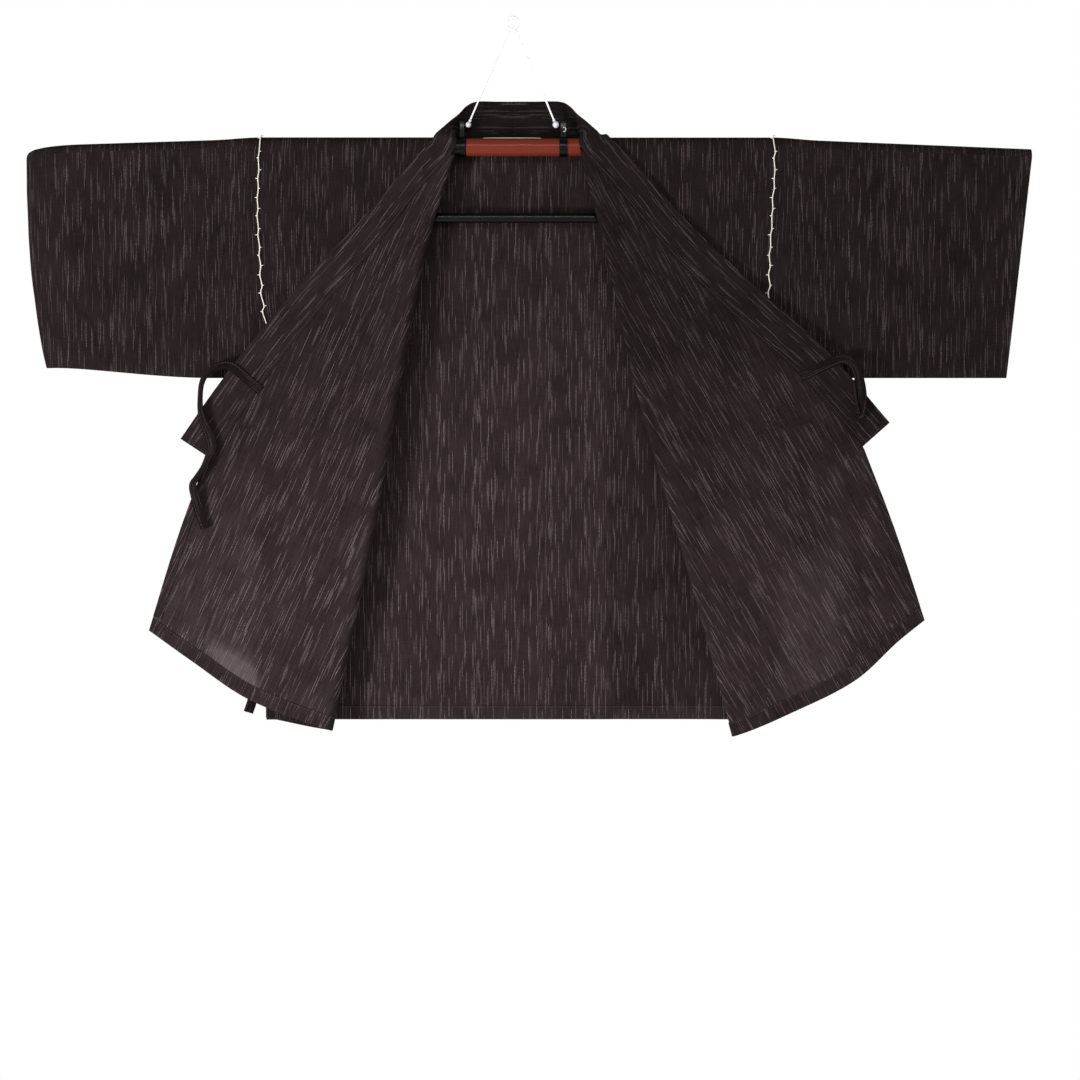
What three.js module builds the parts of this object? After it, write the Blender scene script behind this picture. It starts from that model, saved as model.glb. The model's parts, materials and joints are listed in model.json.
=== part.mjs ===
// A jinbei jacket on a kimono hanger, both fronts turned back flat over the shoulders.
// Millimetres. X runs to the viewer's right, Y away from the viewer and Z up.
// The origin is the inner top of the hanger's ring. Left and right are the viewer's.

import * as THREE from 'three';
import { mergeVertices } from 'three/addons/utils/BufferGeometryUtils.js';

// Cloth
const CLOTH = 1.2;
const BAND = 1.0;
const SEAM_GAP = 0.3;
const ON_CLOTH = CLOTH / 2 + SEAM_GAP + BAND / 2;
const BAND_INSET = 0.4;
const EDGE_BAND_WIDTH = 11;

// Hanger
const RING_INNER = 6;
const RING_WIRE = 1.5;
const BAIL_WIRE = 1.3;
const TUBE_RADIUS = 11;
const OUTER_ARM_RADIUS = 9.5;
const AXIS_Z = -158.6;
const TUBE_LEFT = -57;
const TUBE_RIGHT = 86;
const CAP_LEFT = -71;
const ARM_END_LEFT = -527;
const ARM_END_RIGHT = 590;
const BAR_RADIUS = 6;
const BAR_Z = -245.6;
const BAR_HALF = 122;
const LINK_WIDTH = 14;
const LINK_THICK = 8;
const LINK_FOOT_RADIUS = 9;
const LINK_INSET = 3;
const EAR_TOP = -126.5;
const EAR_RADIUS = 12.2;
const EAR_HALF = 3;
const BEAD_Z = -130.8;

// Each ear's faces along X. Its bead sits against the face that looks to the middle.
const EARS = {
  left: { from: -66.2, to: -58, beadX: -54.3, beadRadius: 3.4 },
  right: { from: 57.6, to: 67.6, beadX: 53.3, beadRadius: 4 },
};

// Jacket
const SHOULDER_RADIUS = TUBE_RADIUS + SEAM_GAP + CLOTH / 2;
const SLEEVE_RADIUS = OUTER_ARM_RADIUS + SEAM_GAP + CLOTH / 2;
const NECK_DEPTH = 13.2;
const NECK_TOP = -146.3;
const SHOULDER_SEAM_TURN = 130;
const CHEST_DEPTH = 10.5;
const SIDE_SEAM_DEPTH = (CLOTH + SEAM_GAP) / 2;
const SIDE_REACH = 110;
const SLEEVE_DROP = 282;
const ARMHOLE_DROP = 290;
const VENT_TOP = 552;
const VENT_FLARE = 3;
const TURNED_DEPTH = 13.9;
const SETTLE_LENGTH = 35;
const TOP_ROLL = 2;
const HEM_DOWN = 712;
const HEM_HEIGHT = 16.6;
const BACK_HEM_Z = -862.5;
const LACE_RADIUS = 1;
const LACE_STEP = 12.3;
const LACE_SWING = 3.6;
const LACE_ARCH = 1.2;
const TIE_WIDTH = 12;
const SLEEVE_FOLD_RADIUS = 1.6;
const BOW_FALLOFF = 70;
const PUSH_OUT_START = 18;
const PUSH_OUT_END = 90;

// The long upright crease in the back: a step away from the viewer that fades to the right.
const BACK_CREASE = { step: 3, from: 112, to: 128, fadeFrom: 220, fadeTo: 300, dropFrom: 120, dropTo: 260 };
// The patch pocket on the right front and the label at the neck, by their edges.
const POCKET = { inFrom: -60, inTo: 75, top: 420, bottom: 570 };
const LABEL = { left: -36, right: 35, top: -12.3, bottom: 6 };

// One row for each front. down is measured from the neck point, in towards the centre front.
const SIDES = {
  left: {
    neckX: -70.3, neckZ: -162, inward: 1, sideX: -303, lean: 12.1, rollEnd: 9,
    seam: [
      { down: 0, in: 0 }, { down: 53, in: 17 }, { down: 90, in: 25 }, { down: 153, in: 41 },
      { down: 234, in: 68 }, { down: 320, in: 92 }, { down: 400, in: 109 }, { down: 473, in: 121 },
    ],
    edge: [{ down: 473, in: 121 }, { down: 580, in: 115 }, { down: 693, in: 104 }],
    hem: [
      { in: -235, down: 697 }, { in: -150, down: 713 }, { in: -43, down: 720 },
      { in: 40, down: 706 }, { in: 104, down: 693 },
    ],
    collar: [
      { down: 0, wide: 32 }, { down: 53, wide: 31 }, { down: 153, wide: 37 },
      { down: 320, wide: 41 }, { down: 473, wide: 45 },
    ],
    bow: [
      { along: 0, shift: 0 }, { along: 60, shift: -7 }, { along: 140, shift: -11 },
      { along: 240, shift: -8 }, { along: 360, shift: -4 }, { along: 480, shift: 0 },
      { along: 740, shift: 0 },
    ],
    sleeveX: -307.5, sleeveLength: 304, slant: 33, slantPower: 2.4, slope: 0.032, bottomRise: 13,
    curlStart: 222, curlRadius: 70,
    sleeveRings: [0, 12, 60, 110, 160, 200, 224, 242, 262, 284, 304],
  },
  right: {
    neckX: 83.8, neckZ: -158.3, inward: -1, sideX: 313, lean: 14.6, rollEnd: 4,
    seam: [
      { down: 0, in: 0 }, { down: 40, in: 11 }, { down: 85, in: 20 }, { down: 153, in: 32 },
      { down: 230, in: 52 }, { down: 301, in: 75 }, { down: 378, in: 101 }, { down: 492, in: 126 },
    ],
    edge: [{ down: 492, in: 126 }, { down: 600, in: 110 }, { down: 714, in: 88 }],
    hem: [
      { in: -232, down: 705 }, { in: -187, down: 724 }, { in: -106, down: 734 },
      { in: -22, down: 737 }, { in: 47, down: 721 }, { in: 88, down: 714 },
    ],
    collar: [
      { down: 0, wide: 35 }, { down: 85, wide: 38 }, { down: 153, wide: 41 },
      { down: 301, wide: 45 }, { down: 492, wide: 44 },
    ],
    bow: [
      { along: 0, shift: 0 }, { along: 160, shift: 2 }, { along: 300, shift: 8 },
      { along: 400, shift: 7 }, { along: 560, shift: 2 }, { along: 740, shift: 0 },
    ],
    sleeveX: 317.5, sleeveLength: 320, slant: 30, slantPower: 1, slope: 0.041, bottomRise: 0,
    curlStart: 400, curlRadius: 70,
    sleeveRings: [0, 12, 60, 110, 160, 210, 260, 300, 320],
  },
};

// The collar over the neck: in is from the neck point towards the centre, at the sewn edge,
// the middle and the free edge. The first row is the centre back.
const NECK_COLLAR = [
  {
    seamIn: 16, seamY: 13.2, seamZ: -146.0,
    midIn: 21, midY: 13.6, midZ: -123.5,
    freeIn: 26, freeY: 12.4, freeZ: -100.8,
  },
  {
    seamIn: 6.5, seamY: 12.9, seamZ: -145.6,
    midIn: 11, midY: 12.5, midZ: -126,
    freeIn: 14, freeY: 9.5, freeZ: -106.5,
  },
  {
    seamIn: 1.4, seamY: 10, seamZ: -146.6,
    midIn: 4.2, midY: 8.6, midZ: -130,
    freeIn: 4.5, freeY: 4.5, freeZ: -117,
  },
  {
    seamIn: 1.0, seamY: 5, seamZ: -147.0,
    midIn: -0.5, midY: 3.4, midZ: -134,
    freeIn: -5, freeY: -2.5, freeZ: -125.5,
  },
  {
    seamIn: 1.0, seamY: -1.5, seamZ: -146.6,
    midIn: -3.6, midY: -3.6, midZ: -138.2,
    freeIn: -13, freeY: -8.5, freeZ: -133,
  },
  {
    seamIn: 1.35, seamY: -8.2, seamZ: -149.0,
    midIn: -6, midY: -11.6, midZ: -143.8,
    freeIn: -20, freeY: -14, freeZ: -140,
  },
  {
    seamIn: 1.3, seamY: -11.9, seamZ: -156.0,
    midIn: -7.8, midY: -15.6, midZ: -150,
    freeIn: -24.6, freeY: -16.2, freeZ: -144.8,
  },
];
const COLLAR_STAND = 44;
const COLLAR_GAP = 0.45;
const COLLAR_ACROSS = [COLLAR_GAP, 1.4, 2.7, 4, 12, 21];

// Straps: x, y and z of the middle line, and how far the strap is turned edge-on, in degrees.
const TURN = 3;
const TIE_PATHS = {
  tie_collar_left: [
    [-308, -15.3, -459, 0], [-324.5, -15.3, -445, 0], [-341, -15.6, -431, 0],
    [-352, -17.2, -427.6, 26], [-364, -19.2, -431, 50], [-374.3, -21, -438.8, 62],
    [-380, -22.3, -450.3, 70], [-381.8, -22.5, -466.8, 72], [-381.4, -22.3, -483.1, 66],
    [-378.2, -21.8, -496.8, 52], [-370.8, -21.4, -513.3, 34], [-367.6, -21.4, -526, 26],
    [-368.4, -21.6, -533, 38], [-377, -22.2, -551.5, 64], [-385.7, -22.4, -565.2, 64],
    [-391, -22.2, -574.7, 56], [-387.3, -21.6, -590, 42], [-381.8, -20.8, -609.7, 18],
    [-375.6, -20, -627.5, 6],
  ],
  tie_collar_right: [
    [353, -15.3, -441.8, 0], [376, -15.3, -431, 0], [399, -16, -421, 0],
    [409, -18, -420.6, 5], [417.5, -20.5, -427, 8], [423, -22.2, -440, 6],
    [426.6, -22.8, -456, 0], [427.8, -22.6, -472, 0], [426, -22.2, -484.5, 0],
    [424.6, -20.8, -488, 0], [422.6, -19.4, -483, 0], [419.6, -18.6, -466, 0],
    [417, -18, -446, 0],
  ],
  tie_side_left: [
    [-304, 0, -553, 0], [-309, -1, -553.4, 0], [-315, -2.5, -560, 0],
    [-318, -4, -580, 0], [-319, -5, -640, 0], [-322, -5, -700, 0],
    [-321, -5, -750, 5], [-317, -5, -805, 8], [-319, -5, -835, 0],
    [-324.5, -5, -853.5, 0],
  ],
  tie_side_right: [
    [304, 0, -553, 0], [290, 0, -560, 0], [283, 0, -585, 0],
    [281, 0, -650, 0], [280, 0, -730, 0], [281, 0, -830, 0],
  ],
};

const radians = THREE.MathUtils.degToRad;
const clamp = THREE.MathUtils.clamp;
const lerp = THREE.MathUtils.lerp;
const soft = (value, from, to) => THREE.MathUtils.smoothstep(value, from, to);

// Reads a table at a value of one column, along a smooth curve through its rows.
function read(table, key, value, column) {
  const last = table.length - 1;
  let row = 0;
  while (row < last - 1 && value > table[row + 1][key]) row += 1;
  const slope = (i) => {
    const a = table[Math.max(0, i - 1)];
    const b = table[Math.min(last, i + 1)];
    return (b[column] - a[column]) / (b[key] - a[key]);
  };
  const [a, b] = [table[row], table[row + 1]];
  const span = b[key] - a[key];
  const t = clamp((value - a[key]) / span, 0, 1);
  const [t2, t3] = [t * t, t * t * t];
  return (2 * t3 - 3 * t2 + 1) * a[column] + (t3 - 2 * t2 + t) * span * slope(row)
    + (3 * t2 - 2 * t3) * b[column] + (t3 - t2) * span * slope(row + 1);
}

function steps(from, to, count) {
  return Array.from({ length: count + 1 }, (_, i) => lerp(from, to, i / count));
}

// Depth of a cloth wall below the shoulder, from its middle surface to the plane Y = 0.
function armholeDepth(drop) {
  const open = 1 - clamp(drop / ARMHOLE_DROP, 0, 1) ** 1.5;
  const flare = VENT_FLARE * soft(drop, VENT_TOP, VENT_TOP + 150);
  return SIDE_SEAM_DEPTH + (SHOULDER_RADIUS - SIDE_SEAM_DEPTH) * open + flare;
}

function bodyDepth(x, drop) {
  const fromSide = Math.max(0, Math.min(x - SIDES.left.sideX, SIDES.right.sideX - x));
  const centre = lerp(SHOULDER_RADIUS, CHEST_DEPTH, soft(drop, 0, 70));
  const spread = Math.sin((Math.PI / 2) * Math.min(1, fromSide / SIDE_REACH));
  return lerp(armholeDepth(drop), centre, spread);
}

// Walls. A grid of middle points becomes a closed wall: two faces and the rims between them.
function gridNormals(grid, closed) {
  const rows = grid.length;
  const cols = grid[0].length;
  return grid.map((line, i) => line.map((_, j) => {
    const below = grid[Math.min(i + 1, rows - 1)][j];
    const above = grid[Math.max(i - 1, 0)][j];
    const down = new THREE.Vector3().subVectors(below, above);
    const next = closed ? (j + 1) % cols : Math.min(j + 1, cols - 1);
    const before = closed ? (j - 1 + cols) % cols : Math.max(j - 1, 0);
    const along = new THREE.Vector3().subVectors(grid[i][next], grid[i][before]);
    return down.cross(along).normalize();
  }));
}

function closedGeometry(positions, indices) {
  const geometry = new THREE.BufferGeometry();
  geometry.setAttribute('position', new THREE.Float32BufferAttribute(positions, 3));
  let volume = 0;
  const corner = (k) => new THREE.Vector3().fromArray(positions, 3 * indices[k]);
  for (let k = 0; k < indices.length; k += 3) {
    volume += corner(k).dot(corner(k + 1).cross(corner(k + 2)));
  }
  if (volume < 0) indices.reverse();
  geometry.setIndex(indices);
  return geometry;
}

function wall(grid, thickness, closed = false) {
  const rows = grid.length;
  const cols = grid[0].length;
  const normals = gridNormals(grid, closed);
  const positions = [];
  for (const side of [1, -1]) {
    grid.forEach((line, i) => line.forEach((point, j) => {
      const moved = point.clone().addScaledVector(normals[i][j], (side * thickness) / 2);
      positions.push(moved.x, moved.y, moved.z);
    }));
  }
  const indices = [];
  const id = (face, i, j) => face * rows * cols + i * cols + (j % cols);
  const quad = (a, b, c, d) => indices.push(a, b, c, a, c, d);
  const across = closed ? cols : cols - 1;
  for (let i = 0; i < rows - 1; i += 1) {
    for (let j = 0; j < across; j += 1) {
      quad(id(0, i, j), id(0, i + 1, j), id(0, i + 1, j + 1), id(0, i, j + 1));
      quad(id(1, i, j), id(1, i, j + 1), id(1, i + 1, j + 1), id(1, i + 1, j));
    }
  }
  for (let j = 0; j < across; j += 1) {
    quad(id(0, 0, j), id(0, 0, j + 1), id(1, 0, j + 1), id(1, 0, j));
    quad(id(0, rows - 1, j), id(1, rows - 1, j), id(1, rows - 1, j + 1), id(0, rows - 1, j + 1));
  }
  if (!closed) {
    for (let i = 0; i < rows - 1; i += 1) {
      quad(id(0, i, 0), id(1, i, 0), id(1, i + 1, 0), id(0, i + 1, 0));
      quad(id(0, i, cols - 1), id(0, i + 1, cols - 1), id(1, i + 1, cols - 1), id(1, i, cols - 1));
    }
  }
  return closedGeometry(positions, indices);
}

// Points of a surface, each moved out along the surface's own normal.
function movedGrid(surface, params, offset) {
  const h = 0.25;
  return params.map((line) => line.map(([u, v]) => {
    const du = surface(u + h, v).sub(surface(u - h, v));
    const dv = surface(u, v + h).sub(surface(u, v - h));
    return surface(u, v).addScaledVector(du.cross(dv).normalize(), offset);
  }));
}

// A turned-back front. along runs down the fold line and across runs over it, from the body
// side to the centre front; past the roll the cloth comes back over itself.
const leanOf = (side) => ({ sin: Math.sin(radians(side.lean)), cos: Math.cos(radians(side.lean)) });

function rollRadius(side, along) {
  return TOP_ROLL + (side.rollEnd - TOP_ROLL) * soft(along, 0, 260);
}

function frontSurface(side) {
  const { sin, cos } = leanOf(side);
  return (along, across) => {
    const roll = rollRadius(side, along);
    const start = TOP_ROLL - roll;
    let reach = across;
    let forward = 0;
    if (across > start + 2 * roll) {
      reach = 2 * TOP_ROLL - across;
      forward = 2 * roll;
    } else if (across > start) {
      const turn = (Math.PI * (across - start)) / (2 * roll);
      reach = start + roll * Math.sin(turn);
      forward = roll * (1 - Math.cos(turn));
    }
    const bow = read(side.bow, 'along', along, 'shift') * Math.exp(-Math.abs(reach) / BOW_FALLOFF);
    const place = (out) => ({
      x: side.neckX + side.inward * (out * cos - along * sin + bow),
      z: side.neckZ - along * cos - out * sin,
    });
    const { x, z } = place(reach);
    if (across > start + 2 * roll) {
      const fold = place(start);
      const atFold = bodyDepth(fold.x, AXIS_Z - fold.z) + forward;
      const settled = Math.exp(-(start - reach) / SETTLE_LENGTH);
      return new THREE.Vector3(x, -lerp(TURNED_DEPTH, atFold, settled), z);
    }
    if (z > AXIS_Z) {
      const turn = (z - AXIS_Z) / SHOULDER_RADIUS;
      const radius = SHOULDER_RADIUS + forward;
      return new THREE.Vector3(x, -radius * Math.cos(turn), AXIS_Z + radius * Math.sin(turn));
    }
    return new THREE.Vector3(x, -bodyDepth(x, AXIS_Z - z) - forward, z);
  };
}

const toFold = (side, inward, down) => {
  const { sin, cos } = leanOf(side);
  return [down * cos - inward * sin, inward * cos + down * sin];
};

function edgeIn(side, down) {
  const seamEnd = side.seam.at(-1).down;
  if (down <= 0) return 0;
  if (down <= seamEnd) return read(side.seam, 'down', down, 'in');
  return read(side.edge, 'down', Math.min(down, side.edge.at(-1).down), 'in');
}

// A row of the pattern drops with the hem's own curve, more the lower it lies.
function patternDown(side, inward, row) {
  const hem = read(side.hem, 'in', clamp(inward, side.hem[0].in, side.hem.at(-1).in), 'down');
  return row + (hem - HEM_DOWN) * (Math.max(0, row) / HEM_DOWN) ** 3;
}

function frontRows(side) {
  const top = (side.neckZ - AXIS_Z) - SHOULDER_RADIUS * radians(SHOULDER_SEAM_TURN);
  const seamEnd = seamEndRow(side);
  return [
    ...steps(top, 0, 8), 4, 9, 16, 34, 62, ...steps(95, seamEnd, 7),
    ...steps(seamEnd, HEM_DOWN - HEM_HEIGHT, 4).slice(1), HEM_DOWN,
  ];
}

// The row whose pattern point on the front edge is the collar's lower end.
function seamEndRow(side) {
  const { down, in: inward } = side.seam.at(-1);
  const drop = patternDown(side, inward, down) - down;
  return down - drop;
}

// across for every column of a row: the body part, the roll and the turned part.
function frontColumns(side, row) {
  const { sin, cos } = leanOf(side);
  const place = (getAcross) => {
    let down = row;
    let across = 0;
    for (let pass = 0; pass < 4; pass += 1) {
      across = getAcross(down);
      down = patternDown(side, (across - down * sin) / cos, row);
    }
    return [(down - across * sin) / cos, across];
  };
  const sideIn = -Math.abs(side.sideX - side.neckX);
  const roll = Math.max(1.6, rollRadius(side, row));
  const edgeAt = (down) => edgeIn(side, down) * cos + down * sin;
  const turned = (down) => Math.min(TOP_ROLL + roll, edgeAt(down) - 3);
  const under = (down) => turned(down) - 2 * roll;
  return [
    ...steps(0, 1, 6).map((t) => place((down) => lerp(sideIn * cos + down * sin, under(down), t))),
    ...steps(0, 1, 6).slice(1).map((t) => place((down) => lerp(under(down), turned(down), t))),
    ...steps(0, 1, 4).slice(1).map((t) => place((down) => lerp(turned(down), edgeAt(down), t))),
  ];
}

function frontWall(side) {
  const surface = frontSurface(side);
  const grid = frontRows(side)
    .map((row) => frontColumns(side, row).map(([along, across]) => surface(along, across)));
  return wall(grid, CLOTH);
}

// Bands folded to the wrong side along the hem and down the front edge.
function frontHem(side) {
  const params = [HEM_DOWN - HEM_HEIGHT, HEM_DOWN - BAND_INSET].map((row) => frontColumns(side, row));
  params.forEach((line) => { line[0][1] += 2; });
  return wall(movedGrid(frontSurface(side), params, -side.inward * ON_CLOTH), BAND);
}

function frontEdgeBand(side) {
  const first = side.seam.at(-1).down + 2;
  const last = side.edge.at(-1).down - HEM_HEIGHT - 1.5;
  const insets = [EDGE_BAND_WIDTH, EDGE_BAND_WIDTH / 2, BAND_INSET];
  const params = steps(first, last, 5).map((down) => insets
    .map((from) => toFold(side, edgeIn(side, down) - from, down)));
  return wall(movedGrid(frontSurface(side), params, -side.inward * ON_CLOTH), BAND);
}

function pocket(side) {
  const columns = steps(POCKET.inFrom, POCKET.inTo, 5);
  const params = steps(POCKET.top, POCKET.bottom, 5)
    .map((down) => columns.map((inward) => toFold(side, inward, down)));
  return wall(movedGrid(frontSurface(side), params, side.inward * ON_CLOTH), BAND);
}

// The collar: one half from the centre back, over the shoulder and down the turned front.
function collarHalf(side) {
  const surface = frontSurface(side);
  const neck = NECK_COLLAR.map((row) => {
    const x = (inward) => side.neckX + side.inward * inward;
    return [
      new THREE.Vector3(x(row.seamIn), row.seamY, row.seamZ),
      new THREE.Vector3(x(row.midIn), row.midY, row.midZ),
      new THREE.Vector3(x(row.freeIn), row.freeY, row.freeZ),
    ];
  });
  const centreX = -side.inward * SEAM_GAP / 2;
  const [seam0, mid0, free0] = neck[0];
  const back = [0, 0.5].map((t) => [seam0, mid0, free0].map((point) => {
    const moved = point.clone();
    moved.x = lerp(centreX, point.x, t);
    return moved;
  }));
  const across = [...COLLAR_ACROSS.map((u) => (u - COLLAR_GAP) / COLLAR_STAND), 0.74, 1];
  const through = ([a, b, c]) => across.map((t) => a.clone().multiplyScalar((1 - t) * (1 - 2 * t))
    .addScaledVector(b, 4 * t * (1 - t)).addScaledVector(c, t * (2 * t - 1)));
  const onNeck = [...back, ...neck].map(through);
  const lastRow = seamEndRow(side) + 0.01;
  const seamDown = side.seam.at(-1).down;
  const step = 2;
  const onFront = frontRows(side).filter((row) => row >= 0 && row <= lastRow).map((row) => {
    const down = patternDown(side, edgeIn(side, row), row);
    const below = Math.min(down + step, seamDown);
    const above = Math.max(0, down - step);
    const lean = (edgeIn(side, below) - edgeIn(side, above)) / (below - above);
    const out = new THREE.Vector2(1, -lean).normalize();
    const wide = read(side.collar, 'down', down, 'wide');
    return [...COLLAR_ACROSS, (COLLAR_ACROSS.at(-1) + wide) / 2, wide].map((u) => {
      const [along, over] = toFold(side, edgeIn(side, down) + out.x * u, down + out.y * u);
      return surface(along, over);
    });
  });
  return wall([...onNeck, ...onFront], CLOTH);
}

// The back: one panel from the shoulder seams and the neck down to the hem.
function backSurface(x, drop) {
  const nearest = Math.min(x - SIDES.left.neckX, SIDES.right.neckX - x);
  const neck = soft(nearest, -6, 4);
  const { step, from, to, fadeFrom, fadeTo, dropFrom, dropTo } = BACK_CREASE;
  const crease = step * soft(x, from, to) * (1 - soft(x, fadeFrom, fadeTo)) * soft(drop, dropFrom, dropTo);
  if (drop < 0) {
    const turn = -drop / SHOULDER_RADIUS;
    const y = lerp(SHOULDER_RADIUS * Math.cos(turn), NECK_DEPTH, neck);
    const onNeck = (-drop * (NECK_TOP - AXIS_Z)) / shoulderRise();
    return new THREE.Vector3(x, y, AXIS_Z + lerp(SHOULDER_RADIUS * Math.sin(turn), onNeck, neck));
  }
  const push = (NECK_DEPTH - SHOULDER_RADIUS) * neck * (1 - soft(drop, PUSH_OUT_START, PUSH_OUT_END));
  return new THREE.Vector3(x, bodyDepth(x, drop) + push + crease, AXIS_Z - drop);
}

function shoulderRise() {
  return SHOULDER_RADIUS * radians(180 - SHOULDER_SEAM_TURN) - SEAM_GAP;
}

// The columns of the back between its side seams, closest at the neck corners and the crease.
function backColumns() {
  const { left, right } = SIDES;
  return [
    ...steps(left.sideX, left.neckX - 6, 5), left.neckX - 1, left.neckX + 4,
    ...steps(left.neckX + 24, right.neckX - 24, 3), right.neckX - 4, right.neckX + 1, right.neckX + 6,
    BACK_CREASE.from, (BACK_CREASE.from + BACK_CREASE.to) / 2, BACK_CREASE.to,
    ...steps(170, right.sideX, 4),
  ];
}

function backWall() {
  const columns = backColumns();
  const rise = shoulderRise();
  const bottom = AXIS_Z - BACK_HEM_Z;
  const drops = [
    -rise, -rise / 2, 0, PUSH_OUT_START, 50, PUSH_OUT_END, ...steps(140, bottom - HEM_HEIGHT, 9), bottom,
  ];
  return wall(drops.map((drop) => columns.map((x) => backSurface(x, drop))), CLOTH);
}

function backHem() {
  const columns = backColumns();
  columns[0] += 2;
  columns[columns.length - 1] -= 2;
  const bottom = AXIS_Z - BACK_HEM_Z;
  const params = [bottom - HEM_HEIGHT, bottom - BAND_INSET].map((drop) => columns.map((x) => [x, drop]));
  return wall(movedGrid(backSurface, params, -ON_CLOTH), BAND);
}

function neckLabel() {
  const params = steps(LABEL.top, LABEL.bottom, 3)
    .map((drop) => steps(LABEL.left, LABEL.right, 3).map((x) => [x, drop]));
  return wall(movedGrid(backSurface, params, -ON_CLOTH), BAND);
}

// Sleeves: flattened tubes that hang over the arms, open at the armhole and the cuff.
function sleeveAxisZ(side, length) {
  return AXIS_Z - side.slope * (length + Math.abs(side.sleeveX - side.sideX) - SEAM_GAP);
}

function sleeveDepth(length, part) {
  const top = lerp(SHOULDER_RADIUS, SLEEVE_RADIUS, soft(length, 10, 60));
  return SLEEVE_FOLD_RADIUS + (top - SLEEVE_FOLD_RADIUS) * (1 - part ** 1.5);
}

function sleeveWall(side) {
  const grid = side.sleeveRings.map((length) => {
    const axis = sleeveAxisZ(side, length);
    const rise = side.bottomRise * soft(length, 60, side.sleeveLength);
    const bottom = AXIS_Z - SLEEVE_DROP + rise;
    const drop = axis - bottom;
    const ring = [];
    const add = (y, z) => {
      const slant = side.slant * clamp((axis - z) / drop, 0, 1) ** side.slantPower;
      const place = length - slant * (length / side.sleeveLength) ** 2;
      const curl = Math.max(0, place - side.curlStart) / side.curlRadius;
      const straight = Math.min(place, side.curlStart) + side.curlRadius * Math.sin(curl);
      const x = side.sleeveX - side.inward * (straight - y * Math.sin(curl));
      ring.push(new THREE.Vector3(x, side.curlRadius * (1 - Math.cos(curl)) + y * Math.cos(curl), z));
    };
    const radius = sleeveDepth(length, 0);
    const fold = SLEEVE_FOLD_RADIUS;
    steps(0, Math.PI, 8).forEach((turn) => add(-radius * Math.cos(turn), axis + radius * Math.sin(turn)));
    steps(0, 1, 6).slice(1).forEach((part) => add(sleeveDepth(length, part), axis - part * drop));
    steps(0, Math.PI, 3).slice(1, -1)
      .forEach((turn) => add(fold * Math.cos(turn), bottom - fold * Math.sin(turn)));
    steps(1, 0, 6).slice(0, -1).forEach((part) => add(-sleeveDepth(length, part), axis - part * drop));
    return ring;
  });
  return wall(grid, CLOTH, true);
}

// Lacing: a cord that swings over the gap from body to sleeve and back, front and rear.
function lacing(side) {
  const lift = CLOTH / 2 + SEAM_GAP + LACE_RADIUS + 0.1;
  const at = (run, swing) => {
    const x = (side.sideX + side.sleeveX) / 2 + swing;
    const drop = Math.abs(run) - SHOULDER_RADIUS * Math.PI / 2;
    if (drop > 0) {
      const depth = sleeveDepth(0, drop / SLEEVE_DROP) + lift + LACE_ARCH * (1 - soft(drop, 0, 20));
      return new THREE.Vector3(x, Math.sign(run) * depth, AXIS_Z - drop);
    }
    const turn = Math.PI / 2 - run / SHOULDER_RADIUS;
    const radius = SHOULDER_RADIUS + lift + LACE_ARCH;
    return new THREE.Vector3(x, radius * Math.cos(turn), AXIS_Z + radius * Math.sin(turn));
  };
  const half = SLEEVE_DROP - 6 + SHOULDER_RADIUS * Math.PI / 2;
  const count = 2 * Math.round(half / LACE_STEP);
  const stops = steps(-half, half, count).map((run, i) => at(run, i % 2 ? LACE_SWING : -LACE_SWING));
  const section = new THREE.Shape().absarc(0, 0, LACE_RADIUS, 0, 2 * Math.PI);
  return new THREE.ExtrudeGeometry(section, {
    steps: count, curveSegments: 3, bevelEnabled: false, extrudePath: new THREE.CatmullRomCurve3(stops),
  });
}

// A flat strap along a path, turned about its own middle line.
function strap(rows) {
  const middles = rows.map(([x, y, z]) => new THREE.Vector3(x, y, z));
  const path = new THREE.CatmullRomCurve3(middles, false, 'centripetal');
  const count = 2 * (rows.length - 1);
  const grid = steps(0, 1, count).map((t) => {
    const tangent = path.getTangent(t);
    const wide = new THREE.Vector3().crossVectors(tangent, new THREE.Vector3(0, 1, 0)).normalize();
    const place = t * (rows.length - 1);
    const row = Math.min(rows.length - 2, Math.floor(place));
    wide.applyAxisAngle(tangent, radians(lerp(rows[row][TURN], rows[row + 1][TURN], place - row)));
    const middle = path.getPoint(t);
    return [-1, 1].map((way) => middle.clone().addScaledVector(wide, (way * TIE_WIDTH) / 2));
  });
  return wall(grid, BAND);
}

// Hanger
function rodX(from, to, radius, z, sides = 24) {
  const rod = new THREE.CylinderGeometry(radius, radius, Math.abs(to - from), sides);
  rod.rotateZ(Math.PI / 2);
  rod.translate((from + to) / 2, 0, z);
  return rod;
}

function outerArm(side, endX) {
  const startX = side.sideX - side.inward * (SEAM_GAP + OUTER_ARM_RADIUS * side.slope);
  const length = Math.abs(endX - startX);
  const slope = Math.atan(side.slope);
  const rod = new THREE.CylinderGeometry(OUTER_ARM_RADIUS, OUTER_ARM_RADIUS, length / Math.cos(slope), 16);
  rod.rotateZ(Math.PI / 2);
  rod.rotateY(-side.inward * slope);
  rod.translate((startX + endX) / 2, 0, AXIS_Z - (side.slope * length) / 2);
  return rod;
}

function plateX(shape, from, thickness) {
  const plate = new THREE.ExtrudeGeometry(shape, { depth: thickness, curveSegments: 8, bevelEnabled: false });
  plate.rotateX(Math.PI / 2);
  plate.rotateZ(Math.PI / 2);
  plate.translate(from, 0, 0);
  return plate;
}

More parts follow.
